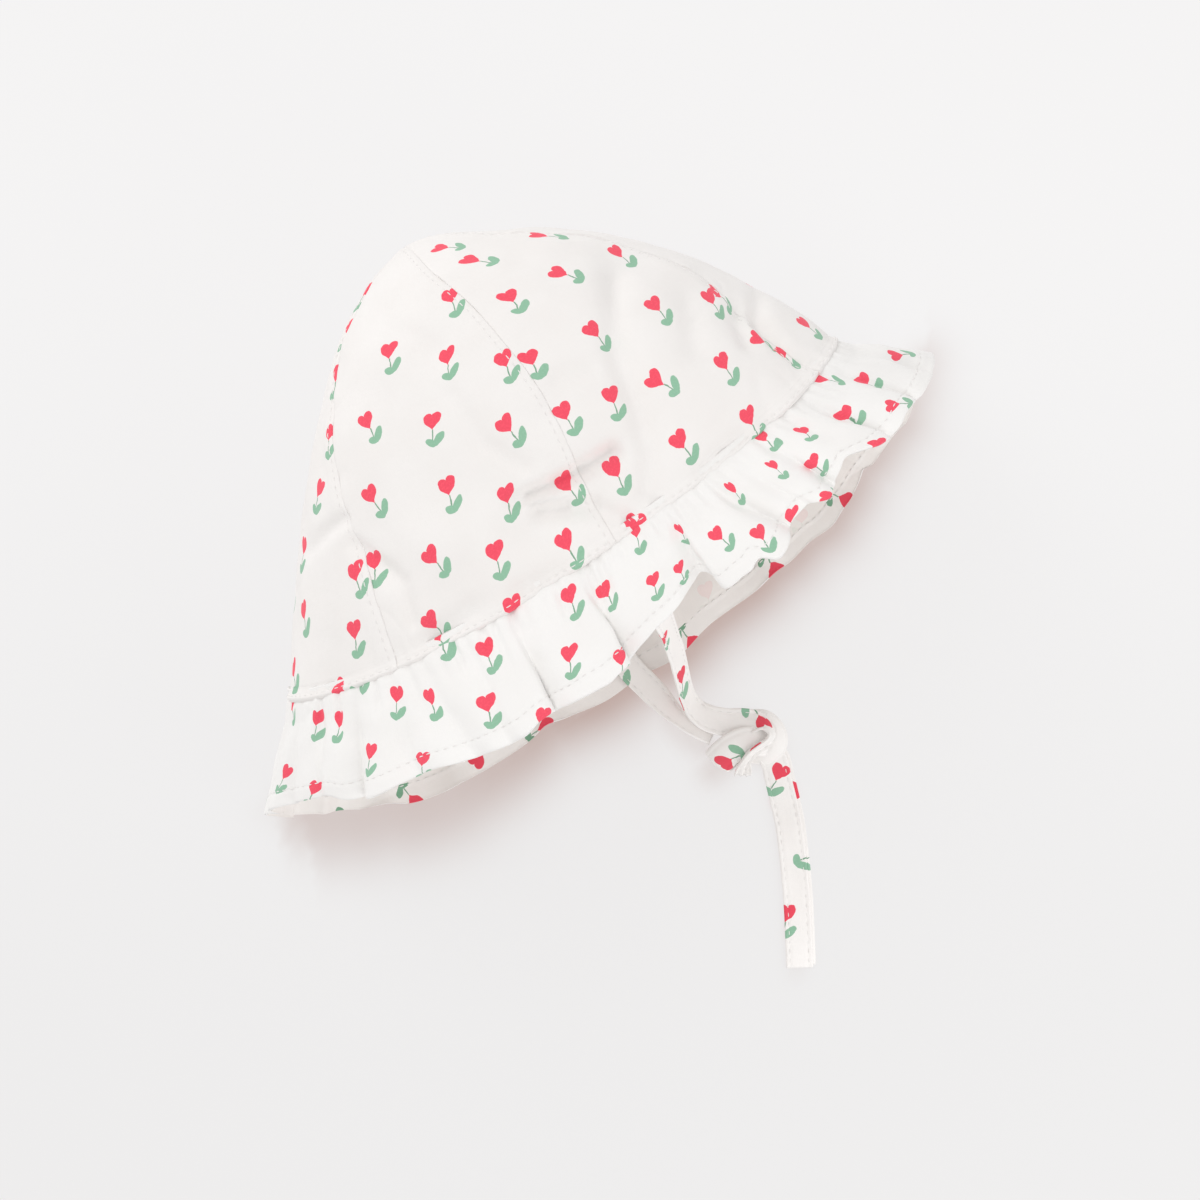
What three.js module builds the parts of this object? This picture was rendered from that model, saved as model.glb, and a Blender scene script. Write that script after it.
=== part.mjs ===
// A baby's cotton sun bonnet lying on its side: a crown of six gores, a gathered
// ruffle sewn round its edge, and two narrow straps knotted together below it.
// Millimetres, +Z up, the floor at z = 0. +X runs along the brim seam, +Y towards
// the crown's tip, so the mouth of the bonnet opens towards -Y.
import * as THREE from 'three';

// ---- driving dimensions, mm ----
const GORE_WALL = 1.2;      // crown cloth with its seam allowances
const RUFFLE_WALL = 1.0;    // ruffle cloth
const GAP = 0.3;            // clearance between pieces that are sewn together
const STRAP_WIDTH = 8;      // folded strap
const STRAP_WALL = 1.0;
const CENTRE_X = 1.918;     // middle of the bonnet without its straps
const CENTRE_Y = 43.947;
const TIP_REACH = 0.988;    // share of the gore's length at which the solids stop
const DROP_TOP = 14.6;      // how far the seam bows towards the mouth on the upper side
const DROP_FLOOR = 17.2;    // and on the side that lies on the floor

const table = (columns, rows) => rows.map((r) =>
  Object.fromEntries(columns.map((c, i) => [c, r[i]])));

// Crown sections from the brim seam (along = 0) to the tip (along = 1): place on the
// crown's axis, left and right edge, lowest, widest and highest level, and how square
// the upper and lower halves are (2 is an ellipse).
const SECTIONS = table(
  ['along', 'y', 'left', 'right', 'low', 'waist', 'high', 'squareHigh', 'squareLow'], [
    [0.000, 24.8, -89.9, 97.0, -1.6, 44.0, 94.0, 2.30, 2.80],
    [0.120, 38.0, -80.4, 92.4, -1.6, 45.0, 98.5, 2.30, 2.80],
    [0.218, 48.7, -72.3, 86.8, -1.4, 46.0, 101.2, 2.25, 2.75],
    [0.375, 65.7, -59.0, 77.1, -0.6, 47.0, 102.0, 2.18, 2.60],
    [0.468, 75.1, -50.6, 69.6, 1.2, 48.0, 100.5, 2.14, 2.45],
    [0.600, 87.7, -38.0, 57.5, 6.6, 49.0, 95.5, 2.10, 2.30],
    [0.690, 96.2, -28.9, 46.2, 13.4, 50.0, 90.0, 2.06, 2.20],
    [0.775, 103.4, -19.4, 34.8, 21.6, 50.5, 82.5, 2.02, 2.10],
    [0.880, 110.3, -6.6, 22.6, 34.0, 51.0, 70.6, 2.00, 2.00],
    [0.946, 113.0, 1.0, 15.6, 43.0, 51.5, 61.4, 2.00, 2.00],
    [1.000, 114.4, 8.3, 8.3, 52.0, 52.0, 52.0, 2.00, 2.00],
  ]);

// Where the three seams of the upper side run, as angles round the section
// (0 at the right edge, 90 on top, 180 at the left edge).
const SEAMS = table(['along', 'right', 'middle', 'left'], [
  [0.00, 30.4, 86.2, 127.6],
  [0.12, 27.5, 86.4, 130.2],
  [0.28, 24.0, 84.6, 136.0],
  [0.42, 22.0, 83.8, 142.8],
  [0.55, 21.0, 84.0, 149.6],
  [0.70, 20.5, 83.4, 154.0],
  [1.00, 20.0, 82.5, 156.0],
]);

// Soft dents of the upper side: a straight line from (x1, y1) to (x2, y2), half-width, depth.
const DENTS = table(['x1', 'y1', 'x2', 'y2', 'half', 'depth'], [
  [-25, 49, 19, 30, 9, 1.5],
  [56, 73, 40, 49, 8, 1.5],
  [42, 39, 27, 16, 7, 1.3],
  [80, 46, 86, 34, 9, 2.2],
  [-44, 40, -36, 24, 8, 1.1],
]);

// Where the ruffle's outer edge lies between its folds, by angle round the section.
const HEM = table(['angle', 'x', 'y', 'z'], [
  [0, 119.5, 7.5, 34],
  [15, 117.0, 2.5, 54],
  [30, 108.5, -2.8, 73],
  [45, 92.5, -8.2, 91],
  [60, 67.5, -13.0, 103],
  [75, 36.0, -17.0, 108],
  [90, -3.5, -20.4, 108],
  [105, -32.5, -21.2, 107],
  [120, -51.5, -19.2, 102],
  [135, -80.0, -13.2, 91],
  [150, -98.5, -6.2, 74],
  [165, -111.0, -0.6, 53],
  [180, -117.0, 1.8, 34],
  [195, -113.0, -1.6, 15],
  [210, -101.5, -8.6, 2],
  [225, -83.0, -17.6, -1],
  [240, -58.0, -24.2, -1],
  [270, 2.0, -26.0, -1],
  [300, 66.0, -20.6, -1],
  [315, 88.0, -11.8, -1],
  [330, 104.0, -4.4, 3],
  [345, 115.0, 2.6, 17],
]);

// How much further in the outer edge is drawn, by angle round the section.
const TRIM = table(['angle', 'in'], [
  [0, 0.0], [8, 0.0], [16, 1.2], [21, 1.6], [24, 1.8], [25.5, 2.6], [27, 2.8], [28.5, 2.8],
  [30, 2.8], [31.5, 3.0], [33, 3.2], [34.5, 3.2], [36, 2.8], [37.5, 1.8], [39, 2.0],
  [40.5, 2.2], [42, 2.4], [43.5, 2.6], [45, 3.0], [46.5, 3.6], [48, 5.2], [49.5, 7.0],
  [51, 8.2], [52.5, 5.6], [54, 3.8], [55.5, 3.4], [57, 3.0], [58.5, 2.0], [60, 4.4],
  [61.5, 4.6], [63, 4.4], [64.5, 3.2], [66, 2.0], [67.5, 0.2], [69, -1.2], [70.5, -1.4],
  [72, 2.4], [73.5, 1.4], [75, 1.4], [76.5, 0.6], [78, 6.8], [79.5, 7.0], [81, 6.6],
  [82.5, 5.6], [84, 5.2], [85.5, 5.2], [87, 4.6], [88.5, 4.2], [90, 3.4], [91.5, 1.4],
  [93, 0.6], [94.5, 1.0], [96, 1.4], [97.5, 1.8], [99, 2.2], [100.5, 2.8], [102, 3.4],
  [103.5, 3.6], [105, 3.0], [108, 1.4], [112, 1.7], [120, 1.8], [124, 2.6], [128, 3.6],
  [132, 3.0], [136, 1.7], [140, 0.4], [144, 0.4], [148, 3.2], [152, 3.5], [156, 3.3],
  [164, 3.0], [170, 2.2], [176, 1.4], [184, 0.8], [196, 0.8], [208, 1.4], [220, 0.0],
  [226, -1.6], [232, -0.8], [244, 1.0], [256, 1.8], [262, 0.2], [268, 0.6], [274, -1.0],
  [280, 1.2], [292, 0.0], [298, 1.3], [304, -1.3], [310, 0.3], [318, 0.8], [334, 0.2],
  [350, 0.0],
]);

// The ruffle's folds: angle at the seam, sideways drift by the hem, how deep the fold is,
// how far it draws the hem in, and its half-width on the left and right of its line.
const FOLDS = table(['angle', 'drift', 'depth', 'recess', 'left', 'right'], [
  [12, 0, 5.0, 1.0, 4.4, 4.4],
  [27, -1, 5.5, 2.0, 5.0, 3.6],
  [41.8, -2.5, 7.0, 4.2, 3.6, 3.6],
  [55.5, -2, 8.0, 5.2, 5.0, 3.2],
  [63.5, -4, 3.0, 2.6, 4.0, 2.6],
  [69.1, -6.5, 7.5, 5.0, 3.4, 3.6],
  [77.8, -1, 8.0, 7.6, 9.0, 2.0],
  [91.5, -2.5, 7.5, 2.6, 2.0, 7.5],
  [103.3, 0, 8.5, 3.2, 2.0, 6.5],
  [113, 0, 2.5, 0.6, 5.0, 5.0],
  [122.6, -2, 4.0, 1.4, 4.6, 5.0],
  [130.6, -1, 4.2, 1.2, 5.0, 4.6],
  [139.4, 3, 6.5, 3.8, 4.0, 3.2],
  [152, 1, 4.5, 1.6, 4.8, 4.8],
  [164, 0, 5.5, 1.2, 4.4, 4.4],
  [178, 0, 6.0, 1.6, 4.6, 4.4],
  [192, 0, 5.5, 1.4, 4.4, 4.6],
  [206, 0, 5.0, 1.2, 4.4, 4.4],
  [223, 1, 4.0, 1.6, 4.6, 4.6],
  [238, -1, 4.5, 0.6, 4.4, 4.6],
  [252, 1, 3.6, 1.8, 4.6, 4.4],
  [292, -1, 4.2, 1.4, 4.6, 4.6],
  [304, 1, 3.6, 2.4, 4.4, 4.6],
  [317, -1, 4.6, 1.6, 4.6, 4.4],
  [332, 1, 5.0, 1.4, 4.4, 4.6],
  [347, 0, 5.5, 1.2, 4.6, 4.4],
]);

// ---- smooth reading of a table ----
function ease(rows, keyed, key, at, period = 0) {
  const n = rows.length;
  const get = (i) => {
    if (!period) return rows[Math.min(n - 1, Math.max(0, i))];
    const turn = Math.floor(i / n);
    const r = rows[i - turn * n];
    return { ...r, [keyed]: r[keyed] + turn * period };
  };
  const t = period ? at - Math.floor((at - rows[0][keyed]) / period) * period : at;
  let i = 0;
  while (i < n - 1 && rows[i + 1][keyed] <= t) i += 1;
  if (!period && i >= n - 1) i = n - 2;
  const a = get(i - 1); const b = get(i); const c = get(i + 1); const d = get(i + 2);
  const h = c[keyed] - b[keyed];
  const f = Math.min(1, Math.max(0, (t - b[keyed]) / h));
  const slope = (p, q) => (q[keyed] === p[keyed] ? 0 : (q[key] - p[key]) / (q[keyed] - p[keyed]));
  const mb = slope(a, c) * h; const mc = slope(b, d) * h;
  const f2 = f * f; const f3 = f2 * f;
  return (2 * f3 - 3 * f2 + 1) * b[key] + (f3 - 2 * f2 + f) * mb
    + (3 * f2 - 2 * f3) * c[key] + (f3 - f2) * mc;
}

const power = (value, square) => Math.sign(value) * Math.abs(value) ** (2 / square);

// ---- the crown's skin ----
const RING = 720;
const rings = new Map();

function ring(along) {
  const name = along.toFixed(5);
  if (rings.has(name)) return rings.get(name);
  const row = {};
  for (const key of Object.keys(SECTIONS[0])) {
    if (key !== 'along') row[key] = ease(SECTIONS, 'along', key, along);
  }
  const middle = (row.left + row.right) / 2; const half = (row.right - row.left) / 2;
  const fade = (1 - Math.min(1, along)) ** 1.6;
  const points = []; const run = [0];
  for (let i = 0; i <= RING; i += 1) {
    const turn = (i / RING) * 2 * Math.PI;
    const c = Math.cos(turn); const s = i === RING ? 0 : Math.sin(turn);
    const up = s >= 0;
    const square = up ? row.squareHigh : row.squareLow;
    const x = middle + half * power(c, square);
    const z = row.waist + (up ? row.high - row.waist : row.waist - row.low) * power(s, square);
    const bow = up ? DROP_TOP * Math.abs(s) ** 1.35 : DROP_FLOOR * Math.abs(s) ** 1.15;
    points.push(new THREE.Vector3(x, row.y - bow * fade, Math.max(0, z)));
    if (i) run.push(run[i - 1] + points[i].distanceTo(points[i - 1]));
  }
  const girth = run[RING];
  const runAt = (angle) => {
    const f = (angle / 360) * RING; const i = Math.min(RING - 1, Math.floor(f));
    return run[i] + (run[i + 1] - run[i]) * (f - i);
  };
  const first = runAt(ease(SEAMS, 'along', 'right', along));
  const second = runAt(ease(SEAMS, 'along', 'middle', along));
  const third = runAt(ease(SEAMS, 'along', 'left', along));
  const rest = (first + girth - third) / 4;      // the four hidden gores share the rest
  const seams = [first, second, third, third + rest, third + 2 * rest, third + 3 * rest,
    first + girth];
  const made = { points, run, girth, seams };
  rings.set(name, made);
  return made;
}

function place(made, arc) {
  const a = ((arc % made.girth) + made.girth) % made.girth;
  let low = 0; let high = RING;
  while (high - low > 1) {
    const mid = (low + high) >> 1;
    if (made.run[mid] <= a) low = mid; else high = mid;
  }
  const f = (a - made.run[low]) / (made.run[high] - made.run[low]);
  return {
    point: made.points[low].clone().lerp(made.points[high], f),
    angle: ((low + f) / RING) * 360,
  };
}

// seat counts gores: 0 to 1 lies on the first, 1 to 2 on the second, and so on
function arcOf(made, seat) {
  const lap = Math.floor(seat / 6); const s = seat - lap * 6;
  const k = Math.min(5, Math.floor(s));
  return made.seams[k] + (made.seams[k + 1] - made.seams[k]) * (s - k) + lap * made.girth;
}

function bare(along, seat) {
  const made = ring(along);
  return place(made, arcOf(made, seat)).point;
}

function facing(along, seat, at = bare) {
  const a0 = Math.max(0, along - 0.006); const a1 = Math.min(0.999, along + 0.006);
  const up = at(a1, seat).sub(at(a0, seat));
  const round = at(along, seat + 0.03).sub(at(along, seat - 0.03));
  return up.cross(round).normalize();
}

function dent(point) {
  let depth = 0;
  for (const d of DENTS) {
    const lx = d.x2 - d.x1; const ly = d.y2 - d.y1;
    const f = Math.min(1, Math.max(0,
      ((point.x - d.x1) * lx + (point.y - d.y1) * ly) / (lx * lx + ly * ly)));
    const away = Math.hypot(point.x - d.x1 - f * lx, point.y - d.y1 - f * ly);
    depth += d.depth * Math.exp(-((away / d.half) ** 2));
  }
  return depth;
}

function skin(along, seat) {
  const point = bare(along, seat);
  const out = facing(along, seat);
  const lit = Math.min(1, Math.max(0, (out.z - 0.1) / 0.4));
  return point.addScaledVector(out, -dent(point) * lit);
}

// ---- a closed wall from an outer and an inner grid ----
function wall(outer, inner, closed) {
  const rows = outer.length; const cols = outer[0].length;
  const points = [...outer.flat(), ...inner.flat()];
  const o = (i, j) => i * cols + (closed ? (j + cols) % cols : j);
  const n = (i, j) => rows * cols + o(i, j);
  const faces = [];
  const spans = closed ? cols : cols - 1;
  for (let i = 0; i < rows - 1; i += 1) {
    for (let j = 0; j < spans; j += 1) {
      faces.push(o(i, j), o(i, j + 1), o(i + 1, j + 1), o(i, j), o(i + 1, j + 1), o(i + 1, j));
      faces.push(n(i, j), n(i + 1, j + 1), n(i, j + 1), n(i, j), n(i + 1, j), n(i + 1, j + 1));
    }
    if (!closed) {
      const e = cols - 1;
      faces.push(o(i, 0), o(i + 1, 0), n(i + 1, 0), o(i, 0), n(i + 1, 0), n(i, 0));
      faces.push(o(i + 1, e), o(i, e), n(i, e), o(i + 1, e), n(i, e), n(i + 1, e));
    }
  }
  for (let j = 0; j < spans; j += 1) {
    const e = rows - 1;
    faces.push(o(0, j + 1), o(0, j), n(0, j), o(0, j + 1), n(0, j), n(0, j + 1));
    faces.push(o(e, j), o(e, j + 1), n(e, j + 1), o(e, j), n(e, j + 1), n(e, j));
  }
  return solid(points, faces);
}

function solid(points, faces) {
  let volume = 0;
  const cross = new THREE.Vector3();
  for (let i = 0; i < faces.length; i += 3) {
    volume += cross.crossVectors(points[faces[i + 1]], points[faces[i + 2]])
      .dot(points[faces[i]]);
  }
  if (volume < 0) {
    for (let i = 0; i < faces.length; i += 3) [faces[i], faces[i + 1]] = [faces[i + 1], faces[i]];
  }
  const geometry = new THREE.BufferGeometry();
  geometry.setAttribute('position', new THREE.Float32BufferAttribute(
    points.flatMap((p) => [p.x, p.y, p.z]), 3));
  geometry.setIndex(faces);
  geometry.computeVertexNormals();
  return geometry;
}

// ---- one gore ----
const GORE_STEPS = [0, 0.06, 0.13, 0.2, 0.28, 0.36, 0.44, 0.52, 0.6, 0.67, 0.74, 0.8, 0.855,
  0.9, 0.94, 0.968, TIP_REACH];
const GORE_SPANS = 8;

function gore(k) {
  const outer = []; const inner = [];
  for (const along of GORE_STEPS) {
    const made = ring(along);
    const wide = made.seams[k + 1] - made.seams[k];
    const edge = GAP / 2 / wide;
    const rowOut = []; const rowIn = [];
    for (let j = 0; j <= GORE_SPANS; j += 1) {
      const seat = k + edge + (1 - 2 * edge) * (j / GORE_SPANS);
      const out = facing(along, seat);
      const point = skin(along, seat);
      const back = point.clone().addScaledVector(out, -GORE_WALL);
      back.z = Math.max(back.z, GORE_WALL);
      rowOut.push(point); rowIn.push(back);
    }
    outer.push(rowOut); inner.push(rowIn);
  }
  return wall(outer, inner, false);
}

// ---- the ruffle ----
const RUFFLE_ROUND = 180;
const RUFFLE_ACROSS = [0, 0.16, 0.36, 0.58, 0.8, 1];

function seamPoint(turn) {
  const made = ring(0);
  return place(made, turn * made.girth);
}

function folded(arc, across) {
  const made = ring(0);
  let depth = 0; let recess = 0;
  for (const f of FOLDS) {
    const home = made.run[Math.round((f.angle / 360) * RING)] + f.drift * across;
    let away = arc - home;
    away -= Math.round(away / made.girth) * made.girth;
    const half = (away > 0 ? f.left : f.right) * (0.55 + 0.45 * across);
    const share = 1 / (1 + (away / half) ** 2) ** 1.6;
    depth += f.depth * share;
    recess += f.recess * share;
  }
  const { angle } = place(made, ((arc % made.girth) + made.girth) % made.girth);
  const trim = ease(TRIM, 'angle', 'in', angle, 360) * across * across;
  return { depth: depth * (0.06 + 0.94 * across ** 1.25), recess: recess * across + trim };
}

function ruffleBase(turn, across) {
  const { point, angle } = seamPoint(turn);
  const reach = new THREE.Vector3(
    ease(HEM, 'angle', 'x', angle, 360),
    ease(HEM, 'angle', 'y', angle, 360),
    ease(HEM, 'angle', 'z', angle, 360)).sub(point);
  const long = reach.length();
  const { recess } = folded(turn * ring(0).girth, across);
  const start = (GAP + 0.1) / long;
  point.addScaledVector(reach, start + (1 - start) * across - recess / long);
  point.z = Math.max(0, point.z);
  return point;
}

function ruffleOut(turn, across, at = ruffleBase) {
  const round = at(turn + 0.003, across).sub(at(turn - 0.003, across));
  const down = at(turn, Math.min(1, across + 0.05)).sub(at(turn, Math.max(0, across - 0.05)));
  return round.cross(down).normalize();
}

function ruffleSkin(turn, across) {
  const point = ruffleBase(turn, across);
  const out = ruffleOut(turn, across);
  point.addScaledVector(out, -folded(turn * ring(0).girth, across).depth);
  point.z = Math.max(0, point.z);
  return point;
}

function ruffle() {
  const outer = []; const inner = [];
  for (const across of RUFFLE_ACROSS) {
    const rowOut = []; const rowIn = [];
    for (let j = 0; j < RUFFLE_ROUND; j += 1) {
      const turn = j / RUFFLE_ROUND;
      const point = ruffleSkin(turn, across);
      const out = ruffleOut(turn, across, ruffleSkin);
      const back = point.clone().addScaledVector(out, -RUFFLE_WALL);
      back.z = Math.max(back.z, RUFFLE_WALL);
      rowOut.push(point); rowIn.push(back);
    }
    outer.push(rowOut); inner.push(rowIn);
  }
  return wall(outer, inner, true);
}

// ---- straps: a flat band along a path, its width laid along (sx, sy, sz) ----
const PATH = ['x', 'y', 'z', 'sx', 'sy', 'sz'];

const UPPER_STRAP = table(PATH, [
  [9.0, 21.0, 93.6, 1, 0, 0],
  [9.2, 12.0, 91.0, 1, 0, 0.1],
  [9.8, 4.0, 84.5, 1, 0, 0.3],
  [10.6, -3.0, 73.0, 1, 0, 0.6],
  [11.4, -9.0, 57.0, 1, 0, 1.0],
  [11.8, -15.2, 38.5, 1, 0.1, 1.3],
  [10.8, -21.0, 24.0, 1, 0.1, 1.2],
  [9.4, -27.5, 13.0, 1, 0.1, 0.9],
  [7.7, -34.5, 6.6, 1, 0, 0.5],
  [6.4, -41.7, 4.0, 1, 0, 0.2],
  [5.6, -48.2, 3.4, 1, 0, 0],
]);

const LOWER_STRAP = table(PATH, [
  [-7.5, 18.0, 2.3, 1, 0, 0],
  [-7.0, 8.0, 2.4, 1, 0, 0],
  [-6.2, -4.0, 2.4, 1, 0, 0],
  [-5.0, -15.0, 2.4, 1, 0.1, 0],
  [-3.4, -24.0, 2.3, 1, 0.15, 0],
  [-1.6, -31.0, 1.3, 1, 0.25, 0],
  [0.2, -37.0, 0.8, 1, 0.3, 0],
  [2.0, -44.0, 0.7, 1, 0.25, 0],
  [3.1, -49.3, 0.7, 1, 0.2, 0],
]);

const LONG_END = table(PATH, [
  [17.9, -70.2, 0.8, 1, -0.3, 0],
  [15.3, -76.2, 0.7, 1, -0.35, 0],
  [11.0, -85.6, 0.7, 1, -0.45, 0],
  [6.2, -94.6, 0.7, 1, -0.52, 0],
  [1.9, -102.9, 0.7, 1, -0.5, 0],
  [-2.2, -110.2, 0.7, 1, -0.55, 0],
  [-6.6, -117.6, 0.7, 1, -0.55, 0],
  [-10.1, -123.4, 0.7, 1, -0.55, 0],
]);

const SHORT_END = table(PATH, [
  [8.3, -66.4, 0.8, 1, -0.1, 0],
  [7.9, -69.6, 0.8, 1, -0.1, 0],
]);

function band(rows, width, thick, steps) {
  const path = new THREE.CatmullRomCurve3(
    rows.map((r) => new THREE.Vector3(r.x, r.y, r.z)), false, 'centripetal');
  const stations = [];
  for (let i = 0; i <= steps; i += 1) {
    const t = i / steps;
    const at = path.getPoint(t);
    const along = path.getTangent(t);
    const f = t * (rows.length - 1); const k = Math.min(rows.length - 2, Math.floor(f));
    const a = rows[k]; const b = rows[k + 1]; const u = f - k;
    const side = new THREE.Vector3(a.sx + (b.sx - a.sx) * u, a.sy + (b.sy - a.sy) * u,
      a.sz + (b.sz - a.sz) * u);
    side.addScaledVector(along, -side.dot(along)).normalize();
    const up = side.clone().cross(along).normalize();
    const corner = (s, v) => at.clone().addScaledVector(side, s * width / 2)
      .addScaledVector(up, v * thick / 2);
    stations.push([corner(-1, -1), corner(1, -1), corner(1, 1), corner(-1, 1)]);
  }
  const points = stations.flat(); const faces = [];
  for (let i = 0; i < steps; i += 1) {
    for (let j = 0; j < 4; j += 1) {
      const a = i * 4 + j; const b = i * 4 + ((j + 1) % 4);
      faces.push(a, b, b + 4, a, b + 4, a + 4);
    }
  }
  const e = steps * 4;
  faces.push(0, 2, 1, 0, 3, 2, e, e + 1, e + 2, e, e + 2, e + 3);
  return solid(points, faces);
}

// ---- the knot: its outer form, a low rounded mound over a plan outline ----
const KNOT_PLAN = table(['x', 'y'], [
  [10.6, -50.2], [15.4, -48.8], [20.0, -50.8], [23.4, -55.4], [25.0, -61.6], [22.6, -66.8],
  [17.6, -68.2], [12.4, -67.2], [8.6, -64.8], [4.6, -60.6], [2.4, -56.2], [4.6, -52.6],
]);
const KNOT_LEVELS = table(['z', 'spread'], [
  [0.15, 0.80], [1.2, 0.95], [3.4, 1.0], [5.6, 0.94], [7.4, 0.78], [8.6, 0.5],
]);

function knot() {
  const middle = new THREE.Vector3(13.6, -58.8, 0);
  const n = KNOT_PLAN.length;
  const points = KNOT_LEVELS.flatMap((level) => KNOT_PLAN.map((p) => new THREE.Vector3(
    middle.x + (p.x - middle.x) * level.spread,
    middle.y + (p.y - middle.y) * level.spread, level.z)));
  const last = KNOT_LEVELS.length - 1;
  points.push(new THREE.Vector3(middle.x, middle.y, KNOT_LEVELS[0].z));
  points.push(new THREE.Vector3(middle.x, middle.y, KNOT_LEVELS[last].z + 0.4));
  const under = points.length - 2; const over = points.length - 1;
  const faces = [];
  for (let j = 0; j < n; j += 1) {
    const k = (j + 1) % n;
    for (let i = 0; i < last; i += 1) {
      faces.push(i * n + j, i * n + k, (i + 1) * n + k, i * n + j, (i + 1) * n + k,
        (i + 1) * n + j);
    }
    faces.push(under, k, j, over, last * n + j, last * n + k);
  }
  return solid(points, faces);
}

// ---- the assembly ----
const cotton = (color) => new THREE.MeshStandardMaterial({
  color, roughness: 0.9, metalness: 0, side: THREE.DoubleSide,
});

const group = new THREE.Group();
group.name = 'ruffled_bucket_hat';

function add(name, geometry, color) {
  const mesh = new THREE.Mesh(geometry, cotton(color));
  mesh.name = name;
  mesh.position.set(-CENTRE_X, -CENTRE_Y, 0);
  group.add(mesh);
}

for (let k = 0; k < 6; k += 1) add(`crown_gore_${k + 1}`, gore(k), k % 2 ? '#f5f1ee' : '#f1ece8');
add('ruffle_brim', ruffle(), '#faf8f6');
add('tie_upper', band(UPPER_STRAP, STRAP_WIDTH, STRAP_WALL, 26), '#f2ece8');
add('tie_lower', band(LOWER_STRAP, STRAP_WIDTH, STRAP_WALL, 20), '#f2ece8');
add('tie_knot', knot(), '#f4efeb');
add('tie_long_end', band(LONG_END, STRAP_WIDTH, STRAP_WALL, 16), '#f2ece8');
add('tie_short_end', band(SHORT_END, 4.6, STRAP_WALL, 2), '#f2ece8');

export default group;
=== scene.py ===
"""A baby's cotton sun bonnet lying on its side: six printed gores, a gathered ruffle,
two edge-stitched straps and their knot. Lengths below are millimetres in the frame of
the tables; mm() turns them into metres in the row frame."""
import math

import bpy
import numpy as np
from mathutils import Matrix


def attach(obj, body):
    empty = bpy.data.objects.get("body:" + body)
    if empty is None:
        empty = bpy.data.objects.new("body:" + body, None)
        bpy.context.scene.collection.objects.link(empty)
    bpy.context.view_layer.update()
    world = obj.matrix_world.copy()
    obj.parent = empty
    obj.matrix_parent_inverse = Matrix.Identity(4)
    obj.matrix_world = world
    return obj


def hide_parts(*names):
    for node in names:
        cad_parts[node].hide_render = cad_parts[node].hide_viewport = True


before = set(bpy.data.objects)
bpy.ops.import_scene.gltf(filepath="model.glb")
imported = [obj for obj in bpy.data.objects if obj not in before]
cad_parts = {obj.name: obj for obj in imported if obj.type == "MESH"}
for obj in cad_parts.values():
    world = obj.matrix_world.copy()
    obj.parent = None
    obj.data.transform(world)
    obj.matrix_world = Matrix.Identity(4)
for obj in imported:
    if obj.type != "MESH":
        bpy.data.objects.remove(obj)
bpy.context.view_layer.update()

# ---- driving dimensions, mm ----
CENTRE = np.array([1.918, 43.947, 0.0])
CLOTH = 0.75            # one layer of cotton as it shows at an edge
DROP_TOP, DROP_FLOOR = 14.6, 17.2
RUFFLE_WIDE = 34.0      # seam to hem
HEM_WIDE = 6.2          # turned-in hem
STRAP_WIDTH, STRAP_WALL = 8.0, 1.1
STITCH, STITCH_STEP = 1.9, 2.7
EYE = 1300.0            # camera above the floor
FIELD = 355.2           # what the frame spans at the floor
TURN = -33.2            # the brim seam's turn in the picture, degrees


def mm(points):
    return (np.asarray(points, float) - CENTRE) * 0.001


def table(columns, rows):
    data = np.array(rows, float)
    return {c: data[:, i] for i, c in enumerate(columns)}


# Crown sections from the brim seam (0) to the tip (1), as in the solid model
SECTIONS = table(
    ["along", "y", "left", "right", "low", "waist", "high", "squareHigh", "squareLow"], [
        [0.000, 24.8, -89.9, 97.0, -1.6, 44.0, 94.0, 2.30, 2.80],
        [0.120, 38.0, -80.4, 92.4, -1.6, 45.0, 98.5, 2.30, 2.80],
        [0.218, 48.7, -72.3, 86.8, -1.4, 46.0, 101.2, 2.25, 2.75],
        [0.375, 65.7, -59.0, 77.1, -0.6, 47.0, 102.0, 2.18, 2.60],
        [0.468, 75.1, -50.6, 69.6, 1.2, 48.0, 100.5, 2.14, 2.45],
        [0.600, 87.7, -38.0, 57.5, 6.6, 49.0, 95.5, 2.10, 2.30],
        [0.690, 96.2, -28.9, 46.2, 13.4, 50.0, 90.0, 2.06, 2.20],
        [0.775, 103.4, -19.4, 34.8, 21.6, 50.5, 82.5, 2.02, 2.10],
        [0.880, 110.3, -6.6, 22.6, 34.0, 51.0, 70.6, 2.00, 2.00],
        [0.946, 113.0, 1.0, 15.6, 43.0, 51.5, 61.4, 2.00, 2.00],
        [1.000, 114.4, 8.3, 8.3, 52.0, 52.0, 52.0, 2.00, 2.00],
    ])
SEAMS = table(["along", "right", "middle", "left"], [
    [0.00, 30.4, 86.2, 127.6],
    [0.12, 27.5, 86.4, 130.2],
    [0.28, 24.0, 84.6, 136.0],
    [0.42, 22.0, 83.8, 142.8],
    [0.55, 21.0, 84.0, 149.6],
    [0.70, 20.5, 83.4, 154.0],
    [1.00, 20.0, 82.5, 156.0],
])
DENTS = table(["x1", "y1", "x2", "y2", "half", "depth"], [
    [-25, 49, 19, 30, 9, 1.5],
    [56, 73, 40, 49, 8, 1.5],
    [42, 39, 27, 16, 7, 1.3],
    [80, 46, 86, 34, 9, 2.2],
    [-44, 40, -36, 24, 8, 1.1],
    [-10, 25, 10, 23, 8, 2.1],
])
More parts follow.
